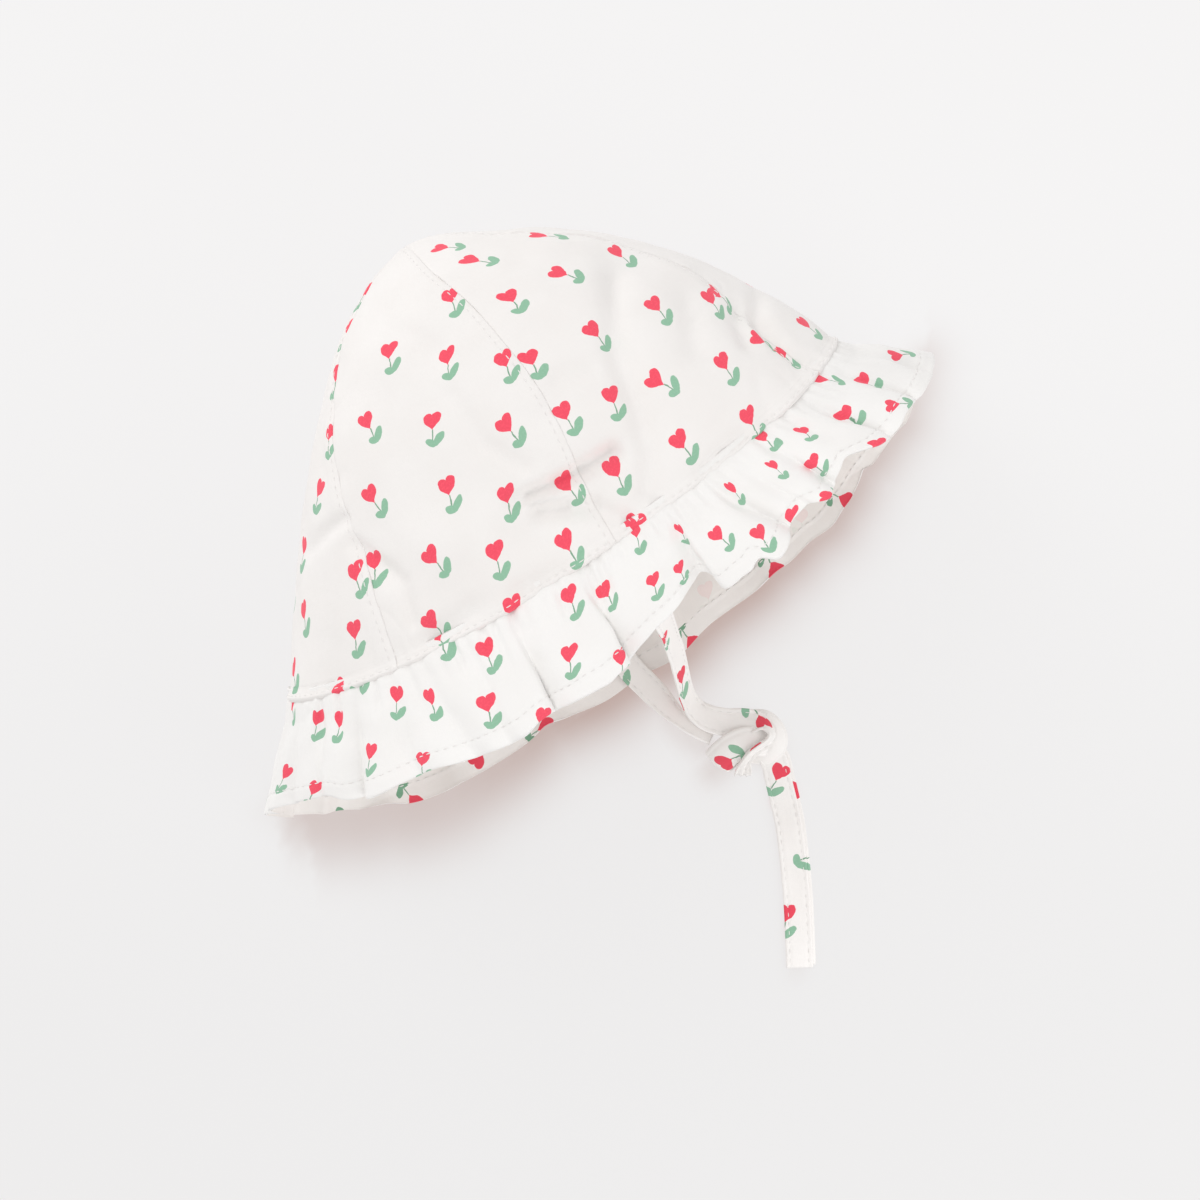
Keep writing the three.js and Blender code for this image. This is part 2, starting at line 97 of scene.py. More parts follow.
HEM = table(["angle", "x", "y", "z"], [
    [0, 119.5, 7.5, 34], [15, 117.0, 2.5, 54], [30, 108.5, -2.8, 73], [45, 92.5, -8.2, 91],
    [60, 67.5, -13.0, 103], [75, 36.0, -17.0, 108], [90, -3.5, -20.4, 108],
    [105, -32.5, -21.2, 107], [120, -51.5, -19.2, 102], [135, -80.0, -13.2, 91],
    [150, -98.5, -6.2, 74], [165, -111.0, -0.6, 53], [180, -117.0, 1.8, 34],
    [195, -113.0, -1.6, 15], [210, -101.5, -8.6, 2], [225, -83.0, -17.6, -1],
    [240, -58.0, -24.2, -1], [270, 2.0, -26.0, -1], [300, 66.0, -20.6, -1],
    [315, 88.0, -11.8, -1], [330, 104.0, -4.4, 3], [345, 115.0, 2.6, 17],
])
# The ruffle's folds; lean is how far the standing side falls over the fold's valley
FOLDS = table(["angle", "drift", "depth", "recess", "left", "right", "lean"], [
    [12, 0, 5.0, 1.0, 4.4, 4.4, 0.6],
    [27, -1, 5.5, 2.0, 5.0, 3.6, -1.0],
    [41.8, -2.5, 7.0, 4.2, 3.6, 3.6, -1.2],
    [55.5, -2, 8.0, 5.2, 5.0, 3.2, -1.6],
    [63.5, -4, 3.0, 2.6, 4.0, 2.6, -1.0],
    [69.1, -6.5, 7.5, 5.0, 3.4, 3.6, -0.8],
    [77.8, -1, 8.0, 7.6, 9.0, 2.0, -2.0],
    [91.5, -2.5, 7.5, 2.6, 2.0, 7.5, 2.4],
    [103.3, 0, 8.5, 3.2, 2.0, 6.5, 2.0],
    [113, 0, 2.5, 0.6, 5.0, 5.0, 0.4],
    [122.6, -2, 4.0, 1.4, 4.6, 5.0, 0.8],
    [130.6, -1, 4.2, 1.2, 5.0, 4.6, -0.6],
    [139.4, 3, 6.5, 3.8, 4.0, 3.2, 1.0],
    [152, 1, 4.5, 1.6, 4.8, 4.8, 0.8],
    [164, 0, 5.5, 1.2, 4.4, 4.4, -0.8],
    [178, 0, 6.0, 1.6, 4.6, 4.4, 0.8],
    [192, 0, 5.5, 1.4, 4.4, 4.6, 0.6],
    [206, 0, 5.0, 1.2, 4.4, 4.4, -0.6],
    [223, 1, 4.0, 1.6, 4.6, 4.6, 0],
    [238, -1, 4.5, 0.6, 4.4, 4.6, 0],
    [252, 1, 3.6, 1.8, 4.6, 4.4, 0],
    [292, -1, 4.2, 1.4, 4.6, 4.6, 0],
    [304, 1, 3.6, 2.4, 4.4, 4.6, 0],
    [317, -1, 4.6, 1.6, 4.6, 4.4, 0],
    [332, 1, 5.0, 1.4, 4.4, 4.6, 0.6],
    [347, 0, 5.5, 1.2, 4.6, 4.4, -0.6],
])
# How far the hem is drawn in beyond that, mm
TRIM = table(["angle", "in"], [
    [0, 0.0], [8, 0.0], [16, 1.2], [21, 1.6], [24, 1.8], [25.5, 2.6], [27, 2.8], [28.5, 2.8],
    [30, 2.8], [31.5, 3.0], [33, 3.2], [34.5, 3.2], [36, 2.8], [37.5, 1.8], [39, 2.0],
    [40.5, 2.2], [42, 2.4], [43.5, 2.6], [45, 3.0], [46.5, 3.6], [48, 5.2], [49.5, 7.0],
    [51, 8.2], [52.5, 5.6], [54, 3.8], [55.5, 3.4], [57, 3.0], [58.5, 2.0], [60, 4.4],
    [61.5, 4.6], [63, 4.4], [64.5, 3.2], [66, 2.0], [67.5, 0.2], [69, -1.2], [70.5, -1.4],
    [72, 2.4], [73.5, 1.4], [75, 1.4], [76.5, 0.6], [78, 6.8], [79.5, 7.0], [81, 6.6],
    [82.5, 5.6], [84, 5.2], [85.5, 5.2], [87, 4.6], [88.5, 4.2], [90, 3.4], [91.5, 1.4],
    [93, 0.6], [94.5, 1.0], [96, 1.4], [97.5, 1.8], [99, 2.2], [100.5, 2.8], [102, 3.4],
    [103.5, 3.6], [105, 3.0], [108, 1.4], [112, 1.7], [120, 1.8], [124, 2.6], [128, 3.6],
    [132, 3.0], [136, 1.7], [140, 0.4], [144, 0.4], [148, 3.2], [152, 3.5], [156, 3.3],
    [164, 3.0], [170, 2.2], [176, 1.4], [184, 0.8], [196, 0.8], [208, 1.4], [220, 0.0],
    [226, -1.6], [232, -0.8], [244, 1.0], [256, 1.8], [262, 0.2], [268, 0.6], [274, -1.0],
    [280, 1.2], [292, 0.0], [298, 1.3], [304, -1.3], [310, 0.3], [318, 0.8], [334, 0.2],
    [350, 0.0],
])
# Sharper creases in the crown's cloth: a line, its half-width and its depth
CREASES = table(["x1", "y1", "x2", "y2", "half", "depth"], [
    [53, 73, 43, 56, 4, 1.50],
    [43, 56, 39, 40, 3.8, 1.50],
    [39, 40, 35, 26, 3.6, 1.40],
    [35, 26, 28, 17, 3.4, 1.10],
    [-5, 35, -1, 34, 2.8, 1.30],
    [-1, 34, 7, 32.5, 2.4, 2.20],
    [7, 32.5, 17, 31.5, 2.8, 2.40],
    [17, 31.5, 25, 31.5, 2.8, 2.30],
    [-1, 28, 6, 24.5, 2.6, 2.00],
    [6, 24.5, 13, 21, 2.8, 1.50],
    [13, 21, 18, 14, 2.6, 1.10],
    [-4, 69, -4, 54, 3.6, 0.90],
    [-4, 54, 2, 42, 3, 0.90],
    [-62, 57, -55, 58, 2.3, 1.00],
    [-55, 58, -48, 58, 2.3, 1.00],
    [-49, 50, -44, 34, 2.4, 0.90],
    [-44, 34, -47, 23, 2.2, 0.70],
    [86, 49, 82, 42, 2.6, 1.70],
    [82, 42, 83, 33, 2.4, 1.60],
    [83, 33, 84, 25, 2.2, 1.30],
    [78, 47, 75, 38, 3, 1.10],
    [67, 56, 61, 44, 4.2, 0.90],
    [44, 14, 56, 16, 3, 0.80],
    [-45, 16, -32, 17, 3.2, 0.90],
    [-17, 14, -5, 12, 3, 0.80],
    [-5, 92, -1, 83, 4.5, 0.70],
    [24, 57, 32, 54, 3, 0.60],
])
# Where the printed motifs show from above: heart x, y and leaf pair x, y on the floor plane
SEEN = {
    "crown_gore_1": [
        (44.5, 101.4, 48.5, 97.7), (61.4, 84, 63.6, 78.6), (27.3, 90.3, 29.1, 84.9),
        (43.8, 88, 48, 83.5), (77, 57.1, 77.4, 51.2), (84.4, 59.7, 86.5, 54.8),
        (42.3, 67.8, 44.2, 62.6), (61.5, 64.7, 63.1, 59.1), (86.5, 40.6, 88.9, 36.2),
        (22.1, 72.1, 23.6, 66.2), (50.5, 45.8, 53.4, 40.4), (69.1, 40, 69.3, 34.5),
        (86.7, 33.4, 88, 27.9), (22.1, 52, 23.3, 46.3), (36.4, 47.9, 36.1, 42.1),
        (66.8, 20.9, 67.6, 12.3), (44.5, 25.3, 47.1, 20), (25.8, 30.8, 26, 25),
        (17.9, 113.8, 23.2, 111.1), (23.9, 105.7, 28.7, 102.2), (21.1, 13.7, 19.2, 7.1),
    ],
    "crown_gore_2": [
        (12.4, 100.5, 12.6, 95.4), (-12.5, 96.6, -13.2, 91.7), (1.5, 86, -0.6, 80.7),
        (15.3, 76.3, 15.6, 70.8), (-29.2, 82.4, -28.8, 76.5), (-13.4, 72.4, -14.5, 66.4),
        (4.8, 58.7, 6.3, 52.8), (-40.8, 64.1, -39.8, 58.1), (-20.5, 53, -20.4, 47.2),
        (-5, 41, -6.3, 37.3), (-49.9, 46.4, -52.3, 40.6), (-35.6, 37.4, -33.9, 32),
        (-18.1, 29.1, -18.6, 24.5), (1.1, 20.1, 2.4, 15), (-45.3, 21.1, -43.3, 15.5),
        (-23.5, 13.2, -22.5, 10.4), (11, 35.2, 12, 30.7),
    ],
    "crown_gore_3": [
        (-2.6, 109.5, -4.8, 105.7), (-27.7, 99.8, -29.4, 96.7), (-52.4, 73.5, -56.6, 68.1),
        (-65.2, 62, -69.2, 56.5), (-56.8, 47.3, -57.8, 40.9), (-75.5, 45.8, -77.6, 39.4),
        (-67.1, 32.1, -68.6, 26), (-88.3, 32.6, -90.1, 26.7), (-40.4, 85.8, -42.7, 82.4),
        (-78.9, 21.1, -80.4, 17.2), (-15.6, 108.5, -17.8, 105.7),
    ],
    "crown_gore_6": [
        (96.4, 35.9, 98.2, 30.5), (1.3, 116.6, 4.6, 115.1),
    ],
    "ruffle_brim": [
        (113.9, 12.8, 118.5, 12.2), (91.2, 19.8, 94.7, 16.5), (101.1, 12.7, 103.5, 9.3),
        (90.2, 7.4, 94.2, 3.7), (104.9, 1.3, 109.3, -0.2), (77.8, 10.2, 79, 5.5),
        (94.6, -5.4, 94.6, -9.6), (74.6, -0.1, 76.2, -4.3), (65.2, 5.4, 66.5, 1),
        (66.9, 15.6, 67.6, 12.3), (50.1, 6.7, 50.6, 2.1), (77.4, -14.3, 74.8, -11.2),
        (50.8, -8.9, 51.6, -13.7), (61.3, -10.8, 60.9, -15.2), (40.2, -2, 42, -5.6),
        (30.3, 4.5, 30.3, 1.3), (25.6, -4.8, 25.8, -9.2), (16.8, -2.6, 16.6, -8.2),
        (2.9, 2.2, 3.2, -3.3), (-7.6, 6.7, -7.9, 0.8), (-16.5, -7.4, -18.4, -12.5),
        (-3.2, -16.4, -4.4, -21.3), (-35.6, 6.6, -37.1, 0.5), (-44.2, -6.5, -45.8, -12.2),
        (-58.4, 4.2, -59.2, -1.3), (-65.9, 10.1, -68.9, 5), (-82.2, -0.1, -85.5, -4.7),
        (-70.5, -9.9, -72.2, -15.1), (-89.9, 16.7, -93.2, 11.7), (-84.4, 12.7, -87.6, 8.4),
        (-106.2, 8.6, -111.1, 5.4), (-101.9, -0.6, -105.5, -3.9), (-93, 25.4, -94.7, 22.3),
        (-46.3, 15.7, -45.2, 11.5, 1), (-71.6, 19.9, -73.7, 16.6, 1), (-32.3, -18.6, -34.2, -23),
        (19.6, 11.5, 19.1, 6.5, 1),
    ],
    "ruffle_inside": [
        (77.4, -14.3, 75.1, -11.4), (47.6, -20.3, 46.5, -17.1), (15.2, -24.9, 14.6, -21),
        (-77.8, -19.9, -78.7, -15.8), (-55.1, -19.9, -52.4, -15.7), (-33.9, -23.2, -36.5, -23.3),
    ],
    "tie_upper": [(9.9, -21.1, 9, -26.2), (8.7, -32.3, 7.1, -36.7), (21.5, -55.8, 18.7, -51.6)],
    "tie_lower": [(-8.9, -17.5, -6.6, -24.2)],
    "wrap": [(3.7, -60.6, 7.5, -60.6)],
    "around": [],
    "tie_long_end": [(17, -72.5, 13.4, -73.6), (10.3, -98, 1.3, -98.1, 0.18),
                     (-5.1, -108.6, -9.3, -114.1)],
    "sliver": [(18, -80.2, 21.5, -82.5), (11.4, -98.7, 2.5, -98.8, 0.25)],
}


# ---- reading the tables ----
def ease(rows, keyed, key, at, period=0.0):
    t = np.asarray(at, float)
    ks, vs = rows[keyed], rows[key]
    n = len(ks)
    if period:
        t = t - np.floor((t - ks[0]) / period) * period
    i = np.clip(np.searchsorted(ks, t, side="right") - 1, 0, n - 1 if period else n - 2)

    def get(j):
        if period:
            lap = np.floor_divide(j, n)
            return ks[j - lap * n] + lap * period, vs[j - lap * n]
        j = np.clip(j, 0, n - 1)
        return ks[j], vs[j]

    (ka, va), (kb, vb), (kc, vc), (kd, vd) = get(i - 1), get(i), get(i + 1), get(i + 2)
    h = kc - kb
    f = np.clip((t - kb) / h, 0, 1)

    def slope(p, vp, q, vq):
        d = q - p
        return np.where(d == 0, 0.0, (vq - vp) / np.where(d == 0, 1.0, d))

    mb, mc = slope(ka, va, kc, vc) * h, slope(kb, vb, kd, vd) * h
    f2, f3 = f * f, f * f * f
    return ((2 * f3 - 3 * f2 + 1) * vb + (f3 - 2 * f2 + f) * mb
            + (3 * f2 - 2 * f3) * vc + (f3 - f2) * mc)


def unit(v):
    return v / np.maximum(np.linalg.norm(v, axis=-1, keepdims=True), 1e-9)


def step(low, high, x):
    t = np.clip((x - low) / (high - low), 0, 1)
    return t * t * (3 - 2 * t)


def bell(x):
    return np.exp(-x * x)


# ---- repeatable noise ----
def corner(ix, iy, iz, seed):
    h = (ix * 374761393 + iy * 668265263 + iz * 1440662683 + seed * 97463453) & 0xFFFFFFFF
    h = ((h ^ (h >> 13)) * 1274126177) & 0xFFFFFFFF
    h = h ^ (h >> 16)
    return h / 2147483647.5 - 1.0


def noise(points, size, seed):
    q = np.asarray(points, float) / size + 1000.0
    i = np.floor(q).astype(np.int64)
    f = q - i
    f = f * f * f * (f * (f * 6 - 15) + 10)
    total = 0.0
    for a in (0, 1):
        wa = f[..., 0] if a else 1 - f[..., 0]
        for b in (0, 1):
            wb = f[..., 1] if b else 1 - f[..., 1]
            for c in (0, 1):
                wc = f[..., 2] if c else 1 - f[..., 2]
                total = total + wa * wb * wc * corner(
                    i[..., 0] + a, i[..., 1] + b, i[..., 2] + c, seed)
    return total


def rumple(points, size, seed, octaves=2):
    return sum(noise(points, size / 2.1 ** o, seed + 17 * o) * 0.5 ** o
               for o in range(octaves))


# ---- the crown's skin ----
RING = 720
rings = {}


def ring(along):
    name = round(float(along), 6)
    if name in rings:
        return rings[name]
    row = {k: float(ease(SECTIONS, "along", k, along)) for k in SECTIONS if k != "along"}
    middle, half = (row["left"] + row["right"]) / 2, (row["right"] - row["left"]) / 2
    fade = (1 - min(1.0, along)) ** 1.6
    turn = np.linspace(0, 2 * math.pi, RING + 1)
    c, s = np.cos(turn), np.sin(turn)
    s[-1] = 0.0
    up = s >= 0
    square = np.where(up, row["squareHigh"], row["squareLow"])

    def power(v):
        return np.sign(v) * np.abs(v) ** (2 / square)

    x = middle + half * power(c)
    z = row["waist"] + np.where(up, row["high"] - row["waist"],
                                row["waist"] - row["low"]) * power(s)
    bow = np.where(up, DROP_TOP * np.abs(s) ** 1.35, DROP_FLOOR * np.abs(s) ** 1.15)
    points = np.stack([x, row["y"] - bow * fade, np.maximum(0, z)], -1)
    run = np.concatenate([[0], np.cumsum(np.linalg.norm(np.diff(points, axis=0), axis=1))])
    girth = run[-1]

    def run_at(angle):
        return np.interp(angle / 360 * RING, np.arange(RING + 1), run)

    first, second, third = (run_at(ease(SEAMS, "along", k, along))
                            for k in ("right", "middle", "left"))
    rest = (first + girth - third) / 4
    seams = np.array([first, second, third, third + rest, third + 2 * rest,
                      third + 3 * rest, first + girth])
    rings[name] = {"points": points, "run": run, "girth": girth, "seams": seams}
    return rings[name]


def place(made, arc):
    a = np.mod(arc, made["girth"])
    return np.stack([np.interp(a, made["run"], made["points"][:, i]) for i in range(3)], -1)


def arc_of(made, seat):
    lap = np.floor(seat / 6)
    s = seat - lap * 6
    k = np.minimum(5, np.floor(s)).astype(int)
    e = made["seams"]
    return e[k] + (e[k + 1] - e[k]) * (s - k) + lap * made["girth"]


def crown_row(along, seat):
    made = ring(along)
    return place(made, arc_of(made, seat))


def line_depth(rows, points, join=np.add):
    total = np.zeros(points.shape[:-1])
    for i in range(len(rows["x1"])):
        a = np.array([rows["x1"][i], rows["y1"][i]])
        l = np.array([rows["x2"][i], rows["y2"][i]]) - a
        d = points[..., :2] - a
        f = np.clip((d @ l) / (l @ l), 0, 1)
        away = np.linalg.norm(d - f[..., None] * l, axis=-1)
        total = join(total, rows["depth"][i] * bell(away / rows["half"][i]))
    return total


def gore_rows(k, alongs, fractions):
    """Skin, outward direction, distance from each seam and from the brim seam."""
    skin, out, left, right = [], [], [], []
    for a in alongs:
        made = ring(a)
        wide = made["seams"][k + 1] - made["seams"][k]
        seat = k + fractions(wide)
        up = crown_row(min(0.999, a + 0.006), seat) - crown_row(max(0, a - 0.006), seat)
        round_ = crown_row(a, seat + 0.03) - crown_row(a, seat - 0.03)
        skin.append(crown_row(a, seat))
        out.append(unit(np.cross(up, round_)))
        left.append((seat - k) * wide)
        right.append((k + 1 - seat) * wide)
    return np.array(skin), np.array(out), np.array(left), np.array(right)


GORE_LONG = 134.0


def gore_detail(skin, out, low, high, base):
    """Outward displacement of the crown's cloth: dents, creases, seams, edge and puckers.
    low and high are the distances from the gore's two seams, base from the brim seam."""
    lit = np.clip((out[..., 2] - 0.1) / 0.4, 0, 1)
    tip = step(0.0, 14.0, GORE_LONG - base)
    d = -(line_depth(DENTS, skin) + 1.95 * line_depth(CREASES, skin, np.maximum)) * lit
    d += (0.95 * noise(skin, 34.0, 3) + 0.55 * noise(skin, 15.0, 8)
          + 0.20 * noise(skin, 6.5, 21)) * tip
    thin = noise(skin * [1.0, 1.0, 1.4], 21.0, 44)
    d -= 0.34 * bell(thin / 0.09) * step(-0.1, 0.5, noise(skin, 40.0, 60)) * tip
    near = np.minimum(low, high)
    d -= 0.09 * bell(near / 0.75)                                 # the sewn line
    d += 0.26 * step(0.0, 2.2, low) * (1 - step(4.6, 7.0, low))   # allowance, on one side
    d -= 0.10 * bell((low - 1.9) / 0.45)                          # its topstitching
    ripple = noise(np.stack([base / 5.2, low * 0.05, high * 0.0], -1), 1.0, 33)
    d += 0.34 * ripple * bell(near / 5.5) * tip
    d += 1.15 * bell((base - 1.25) / 1.3) - 0.30 * bell(base / 0.4)      # turned lower edge
    d -= 0.34 * bell((base - 1.9) / 0.42)
    pull = noise(np.stack([low / 3.1, high * 0.0, base * 0.04], -1), 1.0, 71)
    d += 0.55 * pull * bell(base / 6.0)
    return d


# ---- the ruffle ----
R0 = ring(0.0)
GIRTH = R0["girth"]
FOLD_HOME = np.interp(FOLDS["angle"] / 360 * RING, np.arange(RING + 1), R0["run"])
dice = np.random.RandomState(41)
GATHERS = []
spot = 1.0
while spot < GIRTH - 1:
    GATHERS.append((spot, dice.uniform(0.4, 1.35), dice.uniform(0.2, 0.75),
                    dice.uniform(0.9, 1.6), dice.uniform(-2.0, 2.0)))
    spot += dice.uniform(2.8, 6.0)


def wrapped(d):
    return d - np.round(d / GIRTH) * GIRTH


def folded(arc, across):
    depth, recess = np.zeros_like(arc), np.zeros_like(arc)
    for i, home in enumerate(FOLD_HOME):
        away = wrapped(arc - home - FOLDS["drift"][i] * across)
        half = np.where(away > 0, FOLDS["left"][i], FOLDS["right"][i]) * (0.55 + 0.45 * across)
        share = 1 / (1 + (away / half) ** 2) ** 1.6
        depth += FOLDS["depth"][i] * share
        recess += FOLDS["recess"][i] * share
    angle = np.interp(np.mod(arc, GIRTH), R0["run"], np.arange(RING + 1) / RING * 360)
    trim = ease(TRIM, "angle", "in", angle, 360) * np.maximum(across, 0) ** 2
    return depth * (0.06 + 0.94 * np.maximum(across, 0) ** 1.25), recess * across + trim


def slid(arc, across):
    """The standing side of a fold falls sideways over its valley."""
    moved = arc.copy()
    for i, home in enumerate(FOLD_HOME):
        lean = FOLDS["lean"][i]
        if lean:
            away = wrapped(arc - home - FOLDS["drift"][i] * across) * math.copysign(1, lean)
            moved -= lean * bell((away - 1.7) / 1.25) * step(0.1, 0.7, across)
    return moved


def ruffle_base(arc, across, recess):
    a = np.mod(arc, GIRTH)
    point = place(R0, a)
    angle = np.interp(a, R0["run"], np.arange(RING + 1) / RING * 360)
    reach = np.stack([ease(HEM, "angle", k, angle, 360) for k in ("x", "y", "z")], -1) - point
    long_ = np.linalg.norm(reach, axis=-1)
    start = 0.4 / long_
    share = start + (1 - start) * across - recess / long_
    point = point + reach * share[..., None]
    point[..., 2] = np.maximum(0, point[..., 2])
    return point


def ruffle_place(arc, across):
    return ruffle_base(slid(arc, across), across, folded(arc, across)[1])


def ruffle_out(at, arc, across):
    gap = 0.003 * GIRTH
    round_ = at(arc + gap, across) - at(arc - gap, across)
    down = at(arc, np.minimum(1, across + 0.05)) - at(arc, np.maximum(0, across - 0.05))
    return unit(np.cross(round_, down))


def ruffle_plain(arc, across):
    depth, recess = folded(arc, across)
    point = ruffle_base(arc, across, recess)

    def bare(a, x):
        return ruffle_base(a, x, folded(a, x)[1])

    out = ruffle_out(bare, arc, across)
    shifted = ruffle_base(slid(arc, across), across, recess)
    point = shifted - out * depth[..., None]
    point[..., 2] = np.maximum(0, point[..., 2])
    return point


def ruffle_detail(arc, across, points):
    """Gathers below the seam, soft rumples, the hem's step, stitch line and puckers."""
    d = np.zeros_like(arc)
    for home, depth, reach, half, drift in GATHERS:
        away = wrapped(arc - home - drift * across)
        wide = half * (1 + 1.5 * np.clip(across, 0, 1))
        d -= depth * bell(away / wide) * (1 - step(reach * 0.35, reach, across))
    d += 0.5 * step(0.0, 0.06, across) * (1 - step(0.06, 0.2, across))
    d += 0.75 * bell(across * RUFFLE_WIDE / 1.4)
    d += (0.85 * noise(points, 17.0, 91) + 0.40 * noise(points, 7.0, 92)) * step(0.1, 0.5, across)
    from_hem = (1 - across) * RUFFLE_WIDE
    d += 0.22 * (1 - step(HEM_WIDE - 0.2, HEM_WIDE + 0.5, from_hem))
    d -= 0.3 * bell((from_hem - HEM_WIDE + 0.7) / 0.45)
    pucker = noise(np.stack([arc / 3.0, across * 1.5, across * 0], -1), 1.0, 55)
    d += 0.24 * pucker * bell((from_hem - HEM_WIDE + 0.7) / 3.0)
    d -= 0.22 * bell(from_hem / 0.35)
    return d


# ---- meshes ----
def wall(outer, inner, closed):
    """Quads of a closed wall between two grids; kinds 0 outer, 1 inner, 2 to 5 the rims."""
    rows, cols = outer.shape[:2]
    o = np.arange(rows * cols).reshape(rows, cols)
    n = o + rows * cols
    spans = cols if closed else cols - 1
    i, j = np.meshgrid(np.arange(rows - 1), np.arange(spans), indexing="ij")
    k = (j + 1) % cols
    jj = np.arange(spans)
    kk = (jj + 1) % cols
    e = rows - 1
    groups = [
        np.stack([o[i, j], o[i, k], o[i + 1, k], o[i + 1, j]], -1).reshape(-1, 4),
        np.stack([n[i, j], n[i + 1, j], n[i + 1, k], n[i, k]], -1).reshape(-1, 4),
        np.stack([o[0, kk], o[0, jj], n[0, jj], n[0, kk]], -1),
        np.stack([o[e, jj], o[e, kk], n[e, kk], n[e, jj]], -1),
    ]
    if not closed:
        r = np.arange(rows - 1)
        c = cols - 1
        groups += [
            np.stack([o[r, 0], o[r + 1, 0], n[r + 1, 0], n[r, 0]], -1),
            np.stack([o[r + 1, c], o[r, c], n[r, c], n[r + 1, c]], -1),
        ]
    quads = np.concatenate(groups)
    kinds = np.concatenate([np.full(len(g), q) for q, g in enumerate(groups)])
    points = np.concatenate([outer.reshape(-1, 3), inner.reshape(-1, 3)])
    return points, quads, kinds


def volume(points, quads):
    p = points[quads]
    a = np.einsum("ij,ij->i", np.cross(p[:, 0], p[:, 1]), p[:, 2])
    b = np.einsum("ij,ij->i", np.cross(p[:, 0], p[:, 2]), p[:, 3])
    return (a.sum() + b.sum()) / 6


def build(name, points, quads, corners, marks, looks, materials, replaces=()):
    if volume(points, quads) < 0:
        quads, corners, marks = quads[:, ::-1], corners[:, ::-1], marks[:, ::-1]
    me = bpy.data.meshes.new(name)
    me.vertices.add(len(points))
    me.vertices.foreach_set("co", mm(points).astype(np.float32).ravel())
    me.loops.add(quads.size)
    me.loops.foreach_set("vertex_index", np.ascontiguousarray(quads, np.int32).ravel())
    me.polygons.add(len(quads))
    me.polygons.foreach_set("loop_start", np.arange(0, quads.size, 4, dtype=np.int32))
    me.polygons.foreach_set("material_index", looks.astype(np.int32))
    me.polygons.foreach_set("use_smooth", np.ones(len(quads), bool))
    layer = me.uv_layers.new(name="cut")
    layer.data.foreach_set("uv", np.ascontiguousarray(corners, np.float32).ravel())
    layer = me.uv_layers.new(name="motif")
    layer.data.foreach_set("uv", np.ascontiguousarray(marks, np.float32).ravel())
    me.update(calc_edges=True)
    for m in materials:
        me.materials.append(m)
    o = bpy.data.objects.new(name, me)
    bpy.context.scene.collection.objects.link(o)
    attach(o, "root")
    if replaces:
        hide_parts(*replaces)
    return o


# ---- the print ----
HEART = np.array([0.0, 2.9])        # its middle from its tip, the motif upright
LEAVES = np.array([1.3, -2.9])
HANG = math.atan2(LEAVES[1] - HEART[1], LEAVES[0] - HEART[0])
PITCH = 18.8


def turned(p, angle):
    c, s = np.cos(angle), np.sin(angle)
    return np.stack([c * p[..., 0] - s * p[..., 1], s * p[..., 0] + c * p[..., 1]], -1)


def on_floor(points):
    return points[..., :2] * (EYE / (EYE - points[..., 2:3]))


def motif_places(name, points, uv, facing, *more):
    """Heart tips and turns (u, v, turn) on a piece's flat pattern: the motifs seen from
    above first, then a loose lattice over the rest. more: another seen face of the piece."""
    placed = []
    for key, at, flat, face in ((name, points, uv, facing), *more):
        floor_, height = on_floor(at).reshape(-1, 2), at[..., 2].ravel()
        flat, up = flat.reshape(-1, 2), face.ravel() > 0.02
        for row in SEEN.get(key, []):
            ends = []
            for x, y in (row[:2], row[2:4]):
                away = np.hypot(floor_[:, 0] - x, floor_[:, 1] - y) + np.where(up, 0, 50)
                near = away < away.min() + 0.8
                ends.append(flat[np.argmax(np.where(near, height, -1.0))])
            d = ends[1] - ends[0]
            turn = (math.atan2(d[1], d[0]) - HANG + math.pi) % (2 * math.pi) - math.pi
            if key.startswith("crown") or key == "ruffle_brim":
                turn = min(max(turn, -0.6), 1.0)
            # a fifth number marks a motif whose heart is hidden by a seam or an edge: where
            # its leaves lie on the line between the two points
            if row[4:]:
                middle = ends[0] + row[4] * d - turned(LEAVES, turn)
            else:
                middle = ends[0] - turned(HEART, turn)
            placed.append([*middle, turn])
    uv, facing = uv.reshape(-1, 2), facing.ravel()
    dice = np.random.RandomState(11 + sum(map(ord, name)))
    low, high = uv.min(0) - 9, uv.max(0) + 9
    if more:
        low = uv.min(0) + [-9, 5]
    shown = facing > 0.1 if name in SEEN else np.zeros(len(facing), bool)
    for i in range(int((high[0] - low[0]) / PITCH) + 1):
        for j in range(int((high[1] - low[1]) / PITCH) + 1):
            p = low + PITCH * np.array([i + 0.5 * (j % 2), j]) + dice.uniform(-2.2, 2.2, 2)
            turn = math.radians(dice.uniform(-4, 28))
            if shown[np.argmin(np.hypot(*(uv - p).T))]:
                continue
            if all(math.hypot(p[0] - q[0], p[1] - q[1]) > 13.5 for q in placed):
                placed.append([*p, turn])
    return np.array(placed)


def motif_uv(corners, placed):
    """Each face's corners, measured from the tip of the nearest motif's heart."""
    middle = corners.mean(1)
    best, which = np.full(len(middle), 1e9), np.zeros(len(middle), int)
    for i, (u, v, turn) in enumerate(placed):
        c = np.array([u, v]) + turned(np.array([0.6, 0.3]), turn)
        away = np.hypot(middle[:, 0] - c[0], middle[:, 1] - c[1])
        nearer = away < best
        best[nearer], which[nearer] = away[nearer], i
    o = placed[which]
    return turned(corners - o[:, None, :2], -o[:, 2][:, None])


def weave_at(name, corners):
    """The same cloth's weave is met at another place by each piece."""
    return corners + 37.0 * (sum(map(ord, name)) % 23)


def area_of(o):
    return sum(p.area for p in o.data.polygons)


